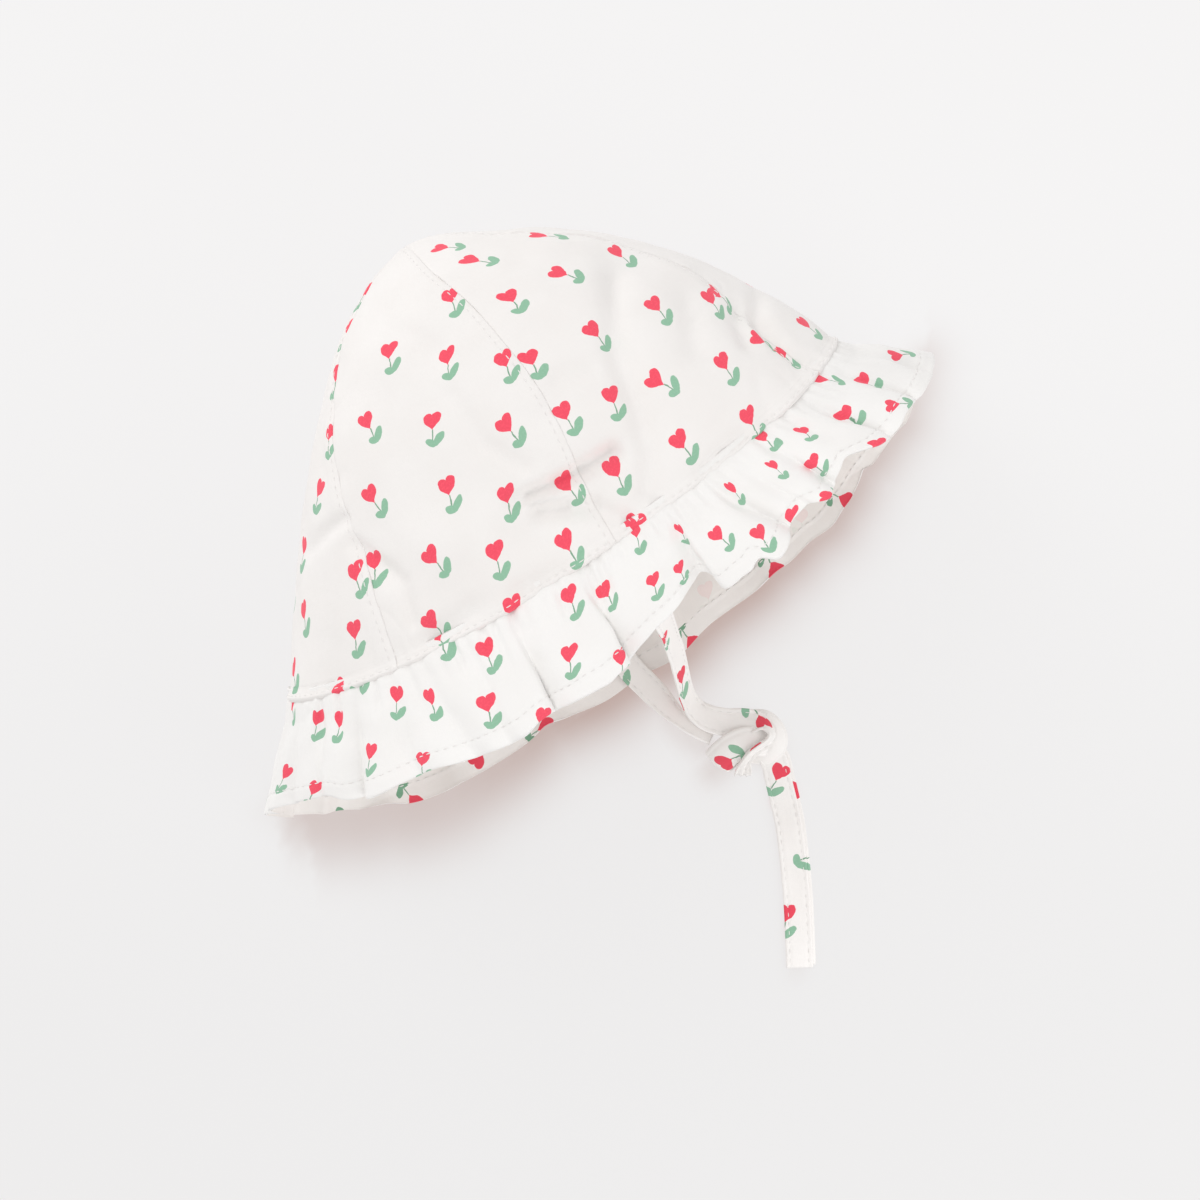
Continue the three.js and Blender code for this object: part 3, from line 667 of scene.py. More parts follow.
# ---- stitches: short sunk threads along a line ----
def stitches(name, lines, thread, pitch=STITCH_STEP, length=STITCH, radius=0.17):
    sides, rows = 6, 5
    turn = np.arange(sides) / sides * 2 * math.pi
    swell = np.array([0.35, 0.85, 1.0, 0.85, 0.35])
    sink = np.array([-0.24, -0.02, 0.03, -0.02, -0.24])
    points, quads, count = [], [], 0
    for line, normal in lines:
        run = np.concatenate([[0], np.cumsum(np.linalg.norm(np.diff(line, axis=0), axis=1))])
        for begin in np.arange(pitch * 0.5, run[-1] - length - 0.3, pitch):
            at = begin + np.linspace(0, length, rows)
            c = np.stack([np.interp(at, run, line[:, i]) for i in range(3)], -1)
            up = unit(np.stack([np.interp(at, run, normal[:, i]) for i in range(3)], -1))
            along = unit(np.gradient(c, axis=0))
            side = unit(np.cross(along, up))
            c = c + up * (radius * 0.35 + sink)[:, None]
            loop = (c[:, None] + side[:, None] * (np.cos(turn)[None, :, None]
                    * (radius * swell)[:, None, None])
                    + up[:, None] * (np.sin(turn)[None, :, None]
                                     * (radius * swell)[:, None, None]))
            points.append(loop.reshape(-1, 3))
            b = count * sides * rows
            for r in range(rows - 1):
                for q in range(sides):
                    w = (q + 1) % sides
                    quads.append([b + r * sides + q, b + r * sides + w,
                                  b + (r + 1) * sides + w, b + (r + 1) * sides + q])
            for r in (0, rows - 1):
                e = b + r * sides
                ends = [[e, e + 1, e + 2, e + 3], [e, e + 3, e + 4, e + 5]]
                quads += ends if r else [f[::-1] for f in ends]
            count += 1
    points, quads = np.concatenate(points), np.array(quads)
    if volume(points[:sides * rows], quads[:(rows - 1) * sides + 4]) < 0:
        quads = quads[:, ::-1]
    corners = np.zeros((len(quads), 4, 2))
    return build(name, points, quads, corners, corners + 99, np.zeros(len(quads)), [thread])


# ---- materials ----
class Nodes:
    def __init__(self, name):
        self.m = bpy.data.materials.new(name)
        self.m.use_nodes = True
        self.tree = self.m.node_tree
        self.tree.nodes.clear()

    def add(self, kind, **settings):
        n = self.tree.nodes.new(kind)
        for k, v in settings.items():
            setattr(n, k, v)
        return n

    def put(self, socket, value):
        if isinstance(value, bpy.types.NodeSocket):
            self.tree.links.new(value, socket)
        else:
            socket.default_value = value

    def math(self, op, a, b=None, c=None):
        n = self.add("ShaderNodeMath", operation=op)
        for i, v in enumerate((a, b, c)):
            if v is not None:
                self.put(n.inputs[i], v)
        return n.outputs[0]

    def fade(self, x, high, low):
        """1 below low, 0 above high, smooth between."""
        n = self.add("ShaderNodeMapRange", interpolation_type="SMOOTHSTEP")
        self.put(n.inputs["Value"], x)
        n.inputs["From Min"].default_value = low
        n.inputs["From Max"].default_value = high
        n.inputs["To Min"].default_value = 1.0
        n.inputs["To Max"].default_value = 0.0
        return n.outputs["Result"]

    def vector(self, x, y, z=0.0):
        n = self.add("ShaderNodeCombineXYZ")
        for i, v in enumerate((x, y, z)):
            self.put(n.inputs[i], v)
        return n.outputs[0]

    def noise(self, vector, scale, detail=2.0, rough=0.5):
        n = self.add("ShaderNodeTexNoise", noise_dimensions="3D")
        self.put(n.inputs["Vector"], vector)
        n.inputs["Scale"].default_value = scale
        n.inputs["Detail"].default_value = detail
        n.inputs["Roughness"].default_value = rough
        return n.outputs["Fac"]

    def mix(self, factor, a, b):
        n = self.add("ShaderNodeMix", data_type="RGBA", blend_type="MIX")
        self.put(n.inputs[0], factor)
        self.put(n.inputs[6], a if isinstance(a, bpy.types.NodeSocket) else (*a, 1.0))
        self.put(n.inputs[7], b if isinstance(b, bpy.types.NodeSocket) else (*b, 1.0))
        return n.outputs[2]

    def scaled(self, colour, by):
        n = self.add("ShaderNodeMix", data_type="RGBA", blend_type="MULTIPLY")
        self.put(n.inputs[0], 1.0)
        self.put(n.inputs[6], colour)
        self.put(n.inputs[7], (*by, 1.0))
        return n.outputs[2]


def motifs(n, x, y, u, v):
    """Masks of a small heart on a stem with two rounded leaves; x, y from the heart's tip."""
    # hand-drawn unevenness of the outlines
    x = n.math("ADD", x, n.math("MULTIPLY", n.math("SUBTRACT",
               n.noise(n.vector(u, v, 3.0), 0.42), 0.5), 0.9))
    y = n.math("ADD", y, n.math("MULTIPLY", n.math("SUBTRACT",
               n.noise(n.vector(u, v, 40.0), 0.42), 0.5), 0.9))
    hx = n.math("DIVIDE", x, 2.68)
    ax = n.math("ABSOLUTE", hx)
    hy = n.math("SUBTRACT", n.math("DIVIDE", y, 2.26), 1.0)
    hy = n.math("SUBTRACT", hy, n.math("MULTIPLY", n.math("SQRT", ax), 0.80))
    hy = n.math("SUBTRACT", hy, n.math("MULTIPLY", hx, 0.12))
    reach = n.math("ADD", n.math("MULTIPLY", hx, hx), n.math("MULTIPLY", hy, hy))
    heart = n.fade(reach, 1.09, 0.93)

    def leaf(cx, cy, angle, a, b):
        p, q = n.math("SUBTRACT", x, cx), n.math("SUBTRACT", y, cy)
        ca, sa = math.cos(math.radians(angle)), math.sin(math.radians(angle))
        lx = n.math("DIVIDE", n.math("ADD", n.math("MULTIPLY", p, ca), n.math("MULTIPLY", q, sa)), a)
        ly = n.math("DIVIDE", n.math("SUBTRACT", n.math("MULTIPLY", q, ca),
                                     n.math("MULTIPLY", p, sa)), b)
        far = n.math("ADD", n.math("MULTIPLY", lx, lx), n.math("MULTIPLY", ly, ly))
        return n.fade(far, 1.12, 0.90)

    leaves = n.math("MAXIMUM", leaf(1.95, -2.55, 54, 2.5, 1.16), leaf(-0.35, -3.7, 150, 1.7, 1.10))
    stem = n.math("MULTIPLY", n.fade(n.math("ABSOLUTE", n.math("SUBTRACT", x, 0.15)), 0.24, 0.12),
                  n.math("MULTIPLY", n.fade(y, 0.5, 0.1),
                         n.fade(n.math("MULTIPLY", y, -1.0), 3.2, 2.8)))
    return heart, leaves, stem


RED, RED_DEEP = (0.97, 0.078, 0.140), (0.84, 0.045, 0.090)
GREEN, GREEN_DEEP = (0.295, 0.55, 0.385), (0.15, 0.34, 0.21)


def cotton(name, cloth, shade, wrong=False, strength=1.0, deep=0.0):
    n = Nodes(name)
    at = n.add("ShaderNodeUVMap", uv_map="cut")
    parts = n.add("ShaderNodeSeparateXYZ")
    n.put(parts.inputs[0], at.outputs[0])
    u, v = parts.outputs[0], parts.outputs[1]
    uv = n.vector(u, v)
    spot = n.add("ShaderNodeUVMap", uv_map="motif")
    of_motif = n.add("ShaderNodeSeparateXYZ")
    n.put(of_motif.inputs[0], spot.outputs[0])
    heart, leaves, stem = motifs(n, of_motif.outputs[0], of_motif.outputs[1], u, v)
    broad = n.noise(uv, 0.045, 2.0)
    fine = n.noise(uv, 1.6, 3.0, 0.6)
    # threads: long thin streaks both ways
    warp = n.noise(n.vector(n.math("MULTIPLY", u, 3.2), n.math("MULTIPLY", v, 0.35)), 1.0, 2.0)
    weft = n.noise(n.vector(n.math("MULTIPLY", u, 0.35), n.math("MULTIPLY", v, 3.2), 9.0), 1.0, 2.0)
    threads = n.math("ADD", warp, weft)
    base = n.mix(n.fade(broad, 0.66, 0.36), shade, cloth)
    base = n.mix(n.math("MULTIPLY", n.fade(threads, 1.2, 0.8), 0.05), base,
                 tuple(c * 0.82 for c in shade))
    ink = n.fade(fine, 0.75, 0.45)     # the ink lies unevenly on the threads
    red = n.mix(ink, tuple(RED[i] * (1 - deep) + RED_DEEP[i] * deep for i in range(3)), RED_DEEP)
    red = n.mix(n.math("MULTIPLY", ink, 0.55), RED if not deep else RED_DEEP, red)
    green = n.mix(n.math("MULTIPLY", ink, 0.4), GREEN if deep < 0.5 else GREEN_DEEP,
                  tuple(0.5 * (a + b) for a, b in zip(GREEN, GREEN_DEEP)))
    cover = 0.10 if wrong else 0.97
    colour = n.mix(n.math("MULTIPLY", stem, cover * 0.95), base, GREEN_DEEP)
    colour = n.mix(n.math("MULTIPLY", leaves, cover), colour, green)
    colour = n.mix(n.math("MULTIPLY", heart, cover), colour, red)
    # height: threads, slubs and a soft crumple
    crumple = n.noise(uv, 0.16, 3.0, 0.55)
    height = n.math("ADD", n.math("MULTIPLY", threads, 0.10), n.math("MULTIPLY", crumple, 0.55))
    height = n.math("ADD", height, n.math("MULTIPLY", fine, 0.05))
    bump = n.add("ShaderNodeBump")
    bump.inputs["Strength"].default_value = 0.55 * strength
    bump.inputs["Distance"].default_value = 0.0006
    n.put(bump.inputs["Height"], height)
    shader = n.add("ShaderNodeBsdfPrincipled")
    n.put(shader.inputs["Base Color"], colour)
    shader.inputs["Roughness"].default_value = 0.86
    shader.inputs["Specular IOR Level"].default_value = 0.25
    shader.inputs["Sheen Weight"].default_value = 0.12
    shader.inputs["Sheen Roughness"].default_value = 0.6
    n.put(shader.inputs["Normal"], bump.outputs[0])
    end = n.add("ShaderNodeOutputMaterial")
    n.put(end.inputs["Surface"], shader.outputs[0])
    return n.m


def plain(name, colour, roughness=0.8, size=None):
    n = Nodes(name)
    shader = n.add("ShaderNodeBsdfPrincipled")
    shader.inputs["Roughness"].default_value = roughness
    shader.inputs["Specular IOR Level"].default_value = 0.2
    if size:
        at = n.add("ShaderNodeTexCoord")
        grain = n.noise(at.outputs["Object"], size, 2.0)
        n.put(shader.inputs["Base Color"],
              n.mix(grain, colour, tuple(c * 0.93 for c in colour)))
    else:
        shader.inputs["Base Color"].default_value = (*colour, 1.0)
    end = n.add("ShaderNodeOutputMaterial")
    n.put(end.inputs["Surface"], shader.outputs[0])
    return n.m


CROWN = cotton("crown_print", (0.885, 0.862, 0.846), (0.868, 0.842, 0.824))
# The crown's wrong side is a warmer beige than its print side: painted warm light bounced inside the
# bonnet.
CROWN_BACK = cotton("crown_wrong_side", (0.88, 0.85, 0.825), (0.86, 0.825, 0.80), wrong=True)
RUFFLE = cotton("ruffle_print", (0.900, 0.889, 0.877), (0.885, 0.871, 0.857))
# The ruffle's wrong side is a warmer beige than its print side: painted warm light bounced inside
# the bonnet.
RUFFLE_BACK = cotton("ruffle_wrong_side", (0.92, 0.885, 0.855), (0.90, 0.86, 0.83), wrong=True)
HEM_IN = cotton("ruffle_turned_hem", (0.93, 0.90, 0.875), (0.91, 0.87, 0.845), deep=1.0)
# The straps' cloth is lighter than the bonnet's: painted light for straps that lie in the bonnet's
# shade.
TIE = cotton("tie_print", (0.955, 0.930, 0.912), (0.935, 0.908, 0.888), deep=0.4)
THREAD = plain("sewing_thread", (0.885, 0.865, 0.85), 0.6, size=900)

# ---- camera, floor and light ----
scene = bpy.context.scene
camera_data = bpy.data.cameras.new("camera")
camera = bpy.data.objects.new("camera", camera_data)
scene.collection.objects.link(camera)
camera_data.lens = camera_data.sensor_width * EYE / FIELD
camera_data.clip_end = 50
camera.location = (-CENTRE[0] * 0.001, -CENTRE[1] * 0.001, EYE * 0.001)
camera.rotation_euler = (0, 0, math.radians(TURN))
scene.camera = camera

# the floor, denser below the bonnet, where it carries the painted shadow
spread_out = np.concatenate([[-6, -1, -0.4], np.arange(-0.25, 0.2501, 0.0025), [0.4, 1, 6]])
SIDE_N = len(spread_out)
floor_x, floor_y = np.meshgrid(spread_out, spread_out)
floor_mesh = bpy.data.meshes.new("floor")
i, j = np.meshgrid(np.arange(SIDE_N - 1), np.arange(SIDE_N - 1), indexing="ij")
squares = np.stack([i * SIDE_N + j, i * SIDE_N + j + 1, (i + 1) * SIDE_N + j + 1,
                    (i + 1) * SIDE_N + j], -1).reshape(-1, 4)
floor_mesh.from_pydata(np.stack([floor_x, floor_y, 0 * floor_x], -1).reshape(-1, 3).tolist(), [],
                       squares.tolist())
floor_mesh.update()
floor = bpy.data.objects.new("floor", floor_mesh)
floor.location.z = -0.0001
scene.collection.objects.link(floor)
floor_look = Nodes("floor_white")
floor_shader = floor_look.add("ShaderNodeBsdfPrincipled")
floor_shader.inputs["Roughness"].default_value = 0.9
floor_shader.inputs["Specular IOR Level"].default_value = 0.1
# The painted shadow attribute darkens both the floor's colour and its glow. The glow is a little
# pinker and the reflecting colour a little bluer, so the floor turns pink where the lamps are
# blocked: painted pink bounced light.
painted_floor_shadow = floor_look.add("ShaderNodeAttribute", attribute_name="painted_floor_shadow")
floor_look.put(floor_shader.inputs["Base Color"],
               floor_look.scaled(painted_floor_shadow.outputs["Color"], (0.12, 0.127, 0.127)))
floor_look.put(floor_shader.inputs["Emission Color"],
               floor_look.scaled(painted_floor_shadow.outputs["Color"], (1.0, 0.98, 0.98)))
floor_shader.inputs["Emission Strength"].default_value = 0.785
floor_end = floor_look.add("ShaderNodeOutputMaterial")
floor_look.put(floor_end.inputs["Surface"], floor_shader.outputs[0])
floor_mesh.materials.append(floor_look.m)

world = bpy.data.worlds.new("world")
scene.world = world
world.use_nodes = True
world.node_tree.nodes["Background"].inputs[0].default_value = (1.0, 0.995, 0.99, 1)
world.node_tree.nodes["Background"].inputs[1].default_value = 0.765


def lamp(name, place_, size, power_, colour=(1, 1, 1)):
    data = bpy.data.lights.new(name, "AREA")
    data.shape = "DISK"
    data.size = size
    data.energy = power_
    data.color = colour
    o = bpy.data.objects.new(name, data)
    scene.collection.objects.link(o)
    o.location = place_
    from mathutils import Vector
    o.rotation_euler = (-Vector(place_)).to_track_quat("-Z", "Y").to_euler()
    return o


lamp("window", (-0.35, 1.25, 1.65), 1.1, 8.45, (1.0, 0.99, 0.98))
lamp("back", (-0.2, 1.5, 0.6), 0.9, 3.35, (1.0, 0.995, 0.99))
lamp("reflector", (0.15, -0.45, 0.35), 0.4, 0.7)
scene.view_settings.view_transform = "Standard"


# ---- straps and knot: flat folded bands along a path ----
def smooth_path(rows, steps):
    """A curve through the rows (x, y, z, side x, side y, side z, width), evenly stepped."""
    rows = np.array(rows, float)
    n = len(rows)
    gaps = np.sqrt(np.linalg.norm(np.diff(rows[:, :3], axis=0), axis=1))
    knots = np.concatenate([[0], np.cumsum(gaps)])
    held = {"k": knots, **{str(c): rows[:, c] for c in range(rows.shape[1])}}
    dense = np.linspace(0, knots[-1], 40 * n)
    line = np.stack([ease(held, "k", str(c), dense) for c in range(rows.shape[1])], -1)
    run = np.concatenate([[0], np.cumsum(np.linalg.norm(np.diff(line[:, :3], axis=0), axis=1))])
    at = np.linspace(0, run[-1], steps)
    return np.stack([np.interp(at, run, line[:, c]) for c in range(line.shape[1])], -1), at


def band(name, rows, steps=None, wall_=STRAP_WALL, cup=0.0, ridge=0.0, ridge_from=0.0, seed=5):
    """Points, quads, pattern corners and stitch lines of one band."""
    rows = [list(r) + [STRAP_WIDTH] * (7 - len(r)) for r in rows]
    rough, at = smooth_path(rows, 60)
    steps = steps or max(12, int(at[-1] / 0.7))
    path, at = smooth_path(rows, steps)
    c = path[:, :3]
    along = unit(np.gradient(c, axis=0))
    side = path[:, 3:6]
    side = unit(side - along * np.sum(side * along, -1, keepdims=True))
    up = unit(np.cross(side, along))
    up *= np.where(np.sum(up[:1] * [0, 0, 1], -1) < 0, -1, 1)[:, None]
    wide = path[:, 6]
    # the section: top from one edge to the other, then back along the underside
    t = np.array([-1, -0.985, -0.93, -0.84, -0.74, -0.66, -0.58, -0.4, -0.2, 0, 0.2, 0.4, 0.58,
                  0.66, 0.74, 0.84, 0.93, 0.985, 1.0])
    x = np.concatenate([t, t[-2:0:-1]])
    top = np.concatenate([np.ones(len(t)), -np.ones(len(t) - 2)])
    edge = np.sqrt(np.clip(1 - np.abs(x) ** 14, 0, 1))
    tall = wall_ / 2 * (edge - 0.30 * bell((np.abs(x) - 0.69) / 0.07)
                        + 0.16 * bell((np.abs(x) - 0.86) / 0.09))
    grid = (c[:, None] + side[:, None] * (x[None, :] * wide[:, None] / 2)[..., None]
            + up[:, None] * (top * tall)[None, :, None])
    grow = step(ridge_from, ridge_from + 0.25, at / at[-1])
    bend = cup * (x ** 2 - 0.3) + ridge * np.cos(x * math.pi * 2) * grow[:, None]
    soft = (0.30 * noise(np.stack([at[:, None] / 9.0 + 0 * x, x * 0.8 + 0 * at[:, None],
                                   0 * x + 0 * at[:, None]], -1), 1.0, seed)
            + 0.14 * noise(np.stack([at[:, None] / 2.6 + 0 * x, np.abs(x) * 1.5 + 0 * at[:, None],
                                     0 * x + 0 * at[:, None]], -1), 1.0, seed + 3)
            * bell((np.abs(x) - 0.75) / 0.3))
    grid = grid + up[:, None] * (bend + soft)[..., None]
    grid[..., 2] = np.maximum(grid[..., 2], 0.02)
    v = at * (1 if np.dot(np.cross(side[0], along[0]), up[0]) > 0 else -1)
    rows_, cols = grid.shape[:2]
    index = np.arange(rows_ * cols).reshape(rows_, cols)
    i, j = np.meshgrid(np.arange(rows_ - 1), np.arange(cols), indexing="ij")
    k = (j + 1) % cols
    quads = np.stack([index[i, j], index[i, k], index[i + 1, k], index[i + 1, j]], -1)
    lengths = np.concatenate([[0], np.cumsum(np.abs(np.diff(np.append(x, x[0]))))])
    u = lengths * STRAP_WIDTH / 2
    corners = np.stack([
        np.stack([u[j], v[i]], -1), np.stack([u[j + 1], v[i]], -1),
        np.stack([u[j + 1], v[i + 1]], -1), np.stack([u[j], v[i + 1]], -1)], -2)
    quads, corners = quads.reshape(-1, 4), corners.reshape(-1, 4, 2)
    spread = np.stack(np.meshgrid(u[:-1], v), -1)
    placed = motif_places(name, grid, spread, up[:, 2][:, None] * top[None, :])
    marks = motif_uv(corners, placed)
    caps = []
    m = len(t)
    for r in (0, rows_ - 1):
        for q in range(1, m - 1):
            a, b = q, q + 1
            lower = [(cols - q) % cols, (cols - q - 1) % cols]
            if b == m - 1:
                break
            f = [index[r, a], index[r, b], index[r, lower[1]], index[r, lower[0]]]
            caps.append(f if r == 0 else f[::-1])
    ends = []
    for r in (0, rows_ - 1):
        f = [index[r, 0], index[r, 1], index[r, cols - 1]]
        g = [index[r, m - 1], index[r, m], index[r, m - 2]]
        ends.append((f if r == 0 else f[::-1]))
        ends.append((g if r == 0 else g[::-1]))
    lines = []
    for s in (-0.69, 0.69):
        for face in (1, -1):
            hx = np.full(len(at), s)
            p = (c + side * (hx * wide / 2)[:, None] + up * (face * wall_ / 2 * 0.72
                 + cup * (s * s - 0.3) + ridge * math.cos(s * math.pi * 2) * grow
                 + 0.30 * noise(np.stack([at / 9.0, hx * 0.8, 0 * hx], -1), 1.0, seed))[:, None])
            lines.append((p, up * face))
    return {"grid": grid.reshape(-1, 3), "quads": quads, "corners": corners, "marks": marks,
            "rows": rows_, "cols": cols, "at": at, "caps": caps,
            "ends": ends, "lines": lines, "line": c, "long": at[-1], "up": up}


def share(b, first, last):
    """The rows first to last of a band, so that two pieces meet without a step."""
    c = b["cols"]
    keep = slice(first * c, last * c)
    caps = [f for f in b["caps"] + b["ends"] if first <= f[0] // c <= last]
    return {**b, "grid": b["grid"][first * c:(last + 1) * c], "quads": b["quads"][keep] - first * c,
            "corners": b["corners"][keep], "marks": b["marks"][keep], "ends": [],
            "caps": [[v - first * c for v in f] for f in caps],
            "lines": [(p[first:last + 1], n[first:last + 1]) for p, n in b["lines"]],
            "line": b["line"][first:last + 1], "long": b["at"][last] - b["at"][first]}


def bands(name, made, replaces=()):
    """One piece of several bands."""
    points, polys, uvs, spots, base = [], [], [], [], 0
    for b in made:
        points.append(b["grid"])
        quads = b["quads"] + base
        flip = volume(np.concatenate(points), quads) < 0
        way = -1 if flip else 1
        polys += quads[:, ::way].tolist()
        uvs += weave_at(name, b["corners"])[:, ::way].reshape(-1, 2).tolist()
        spots += b["marks"][:, ::way].reshape(-1, 2).tolist()
        for f in b["caps"] + b["ends"]:
            f = [int(v) + base for v in f]
            polys.append(f)
            uvs += [[0.0, 0.0]] * len(f)
            spots += [[99.0, 99.0]] * len(f)
        base += len(b["grid"])
    points = np.concatenate(points)
    me = bpy.data.meshes.new(name)
    me.from_pydata(mm(points).tolist(), [], polys)
    me.materials.append(TIE)
    layer = me.uv_layers.new(name="cut")
    layer.data.foreach_set("uv", np.array(uvs, np.float32).ravel())
    layer = me.uv_layers.new(name="motif")
    layer.data.foreach_set("uv", np.array(spots, np.float32).ravel())
    me.polygons.foreach_set("use_smooth", np.ones(len(me.polygons), bool))
    me.update()
    import bmesh
    bm = bmesh.new()
    bm.from_mesh(me)
    bmesh.ops.recalc_face_normals(bm, faces=bm.faces)
    bm.to_mesh(me)
    bm.free()
    o = bpy.data.objects.new(name, me)
    scene.collection.objects.link(o)
    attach(o, "root")
    if replaces:
        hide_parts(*replaces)
    return o


# the upper strap, its loop through the knot and the bunched end that crosses it
UPPER = [
    [9.0, 17.5, 89.0, 1, 0, 0],
    [9.2, 11.0, 88.2, 1, 0, 0.1],
    [9.8, 4.0, 83.5, 1, 0.1, 0.1],
    [10.8, -3.0, 73.0, 0.94, 0.25, 0],
    [11.7, -9.0, 57.0, 0.86, 0.45, -0.15],
    [12.1, -15.2, 38.5, 0.86, 0.46, -0.24, 8.0],
    [10.9, -21.1, 24.0, 0.82, 0.47, -0.33, 8.0],
    [9.1, -27.4, 13.5, 0.78, 0.39, -0.49, 8.0],
    [7.0, -33.5, 7.8, 0.70, 0.27, -0.66, 8.0],
    [5.9, -38.1, 5.8, 0.67, 0.16, -0.73, 8.0],
    [5.8, -42.3, 4.8, 0.78, 0.25, -0.58, 8.0],
    [7.6, -46.7, 4.4, 0.80, 0.54, -0.28, 8.2],
    [11.4, -50.6, 4.8, 0.64, 0.76, -0.14, 8.4],
    [15.4, -53.0, 5.6, 0.57, 0.81, -0.17, 8.2],
    [18.7, -55.3, 6.8, 0.72, 0.59, -0.36, 7.2],
    [20.7, -57.9, 8.0, 0.79, 0.05, -0.61, 5.0],
    [20.6, -60.7, 8.8, 0.55, -0.50, -0.67, 3.9],
    [18.6, -61.8, 9.2, 0.09, -0.72, -0.69, 3.6],
    [15.7, -61.9, 9.4, 0.03, -0.74, -0.67, 3.5],
    [13.0, -62.0, 9.2, 0.29, -0.70, -0.65, 3.5],
    [10.2, -62.9, 8.0, 0.64, -0.57, -0.51, 3.5],
    [7.8, -64.3, 5.2, 0.83, -0.48, -0.28, 3.6],
    [6.7, -65.6, 2.2, 0.83, -0.56, -0.06, 3.8],
]
LOWER = [
    [-7.5, 18.0, 2.3, 1, 0, 0],
    [-7.0, 8.0, 2.4, 1, 0, 0],
    [-6.2, -2.0, 2.4, 1, 0, 0],
    [-4.8, -11.1, 2.4, 0.99, 0.10, 0.00, 8.0],
    [-4.1, -17.2, 2.4, 0.99, 0.11, -0.03, 8.0],
    [-3.3, -23.7, 2.3, 0.99, 0.16, -0.05, 8.0],
    [-2.3, -28.4, 2.4, 0.98, 0.19, -0.07, 8.0],
    [-1.5, -32.6, 2.6, 0.98, 0.18, -0.10, 7.8],
    [-0.6, -37.7, 2.9, 0.96, 0.19, -0.21, 6.8],
    [0.5, -42.4, 3.1, 0.91, 0.24, -0.34, 5.4],
    [2.0, -47.1, 3.1, 0.79, 0.35, -0.50, 4.4],
    [4.8, -52.5, 2.8, 0.66, 0.38, -0.64, 3.6],
]
LONG_END = [
    [17.2, -64.6, 1.9, 1, -0.3, 0],
    [16.8, -68.6, 1.3, 1, -0.3, 0],
    [15.4, -72.4, 0.9, 1, -0.33, 0],
    [12.6, -80.2, 0.8, 1, -0.4, 0],
    [10.3, -86.2, 0.8, 1, -0.45, 0],
    [6.2, -94.6, 0.8, 1, -0.52, 0],
    [1.9, -102.9, 0.8, 1, -0.5, 0],
    [-2.2, -110.2, 0.8, 1, -0.55, 0],
    [-6.6, -117.6, 0.8, 1, -0.55, 0],
    [-10.1, -123.4, 0.8, 1, -0.55, 0],
]
SHORT_END = [
    [9.7, -62.9, 3.0, 0.81, -0.59, 0, 3.8],
    [8.8, -64.9, 1.2, 0.81, -0.59, 0, 3.8],
    [7.6, -67.0, 0.8, 0.81, -0.59, 0, 3.6],
]
# the knot: the wrap over the loop, and the turn at its right
WRAP = [
    [18.5, -62.2, 6.2, -0.42, -0.91, 0.00, 8.4],
    [16.7, -60.6, 7.4, -0.37, -0.93, 0.00, 8.8],
    [13.9, -58.9, 7.9, -0.27, -0.96, 0.00, 9.2],
    [10.3, -57.9, 7.8, -0.03, -1.00, 0.00, 9.2],
    [6.4, -58.0, 6.6, 0.17, -0.99, 0.00, 9.2],
    [3.4, -58.7, 4.5, 0.29, -0.96, 0.00, 9.2],
    [2.5, -59.1, 2.6, 0.32, -0.95, 0.00, 9.2],
    [3.6, -59.1, 1.2, 0.32, -0.95, 0.00, 9.2],
    [8.1, -58.5, 0.8, 0.32, -0.95, 0.00, 9.0],
]
AROUND = [
    [17.8, -53.7, 3.6, 0.57, 0.76, -0.31, 6.6],
    [21.2, -56.1, 4.0, 0.74, 0.54, -0.41, 6.6],
    [22.3, -59.7, 3.9, 0.90, 0.06, -0.44, 6.6],
    [21.4, -63.3, 3.5, 0.80, -0.42, -0.43, 6.6],
    [18.8, -65.4, 3.0, 0.27, -0.86, -0.43, 6.6],
    [15.6, -64.7, 2.6, -0.39, -0.84, -0.37, 6.6],
    [12.5, -62.0, 2.0, -0.61, -0.75, -0.24, 6.6],
]

whole = band("tie_upper", UPPER, cup=0.35, ridge=0.4, ridge_from=0.72, seed=11)
meet = int(np.argmin(np.abs(whole["line"] - [5.9, -38.1, 5.8]).sum(1)))
upper, loop = share(whole, 0, meet), share(whole, meet, whole["rows"] - 1)
lower = band("tie_lower", LOWER, cup=-0.15, seed=12)
long_end = band("tie_long_end", LONG_END, cup=0.12, seed=13)
short_end = band("tie_short_end", SHORT_END, seed=14)
sliver_rows = [[r[0] + 1.3, r[1] + 0.2, max(0.42, r[2] - 0.5), *r[3:6], 7.6] for r in LONG_END]
sliver = band("sliver", sliver_rows, wall_=0.7, seed=15)
wrap = band("wrap", WRAP, wall_=1.1, cup=-1.1, seed=16)
around = band("around", AROUND, wall_=1.1, cup=-0.4, seed=19)

knot_piece = bands("knot_wrapped", [wrap, around, loop], ["tie_knot"])
upper_piece = bands("tie_upper_strap", [upper], ["tie_upper"])
lower_piece = bands("tie_lower_strap", [lower], ["tie_lower"])
long_piece = bands("tie_long_end_strap", [long_end, sliver], ["tie_long_end"])
short_piece = bands("tie_short_end_strap", [short_end], ["tie_short_end"])
tie_stitches = stitches(
    "tie_stitching", [l for b in (upper, lower, long_end, loop) for l in b["lines"]], THREAD,
    radius=0.13)

for piece, made, far, lay, with_ in (
        (upper_piece, upper, "knot", "hanging", [knot_piece]),
        (lower_piece, lower, "knot", "loose", [knot_piece, tie_stitches]),
        (long_piece, long_end, "bare", "loose", [short_piece])):
    line = mm(made["line"])

# ---- the crown ----
HALF = 36
EVEN = np.linspace(0, 1, HALF + 1)


def fractions(wide):
    """Places across a gore, closer together near its seams."""
    share = min(1.0, 0.3 * HALF / (wide / 2))
    near = 0.5 * (share * EVEN + (1 - share) * EVEN ** 2.3)
    return np.concatenate([near, 1 - near[-2::-1]])


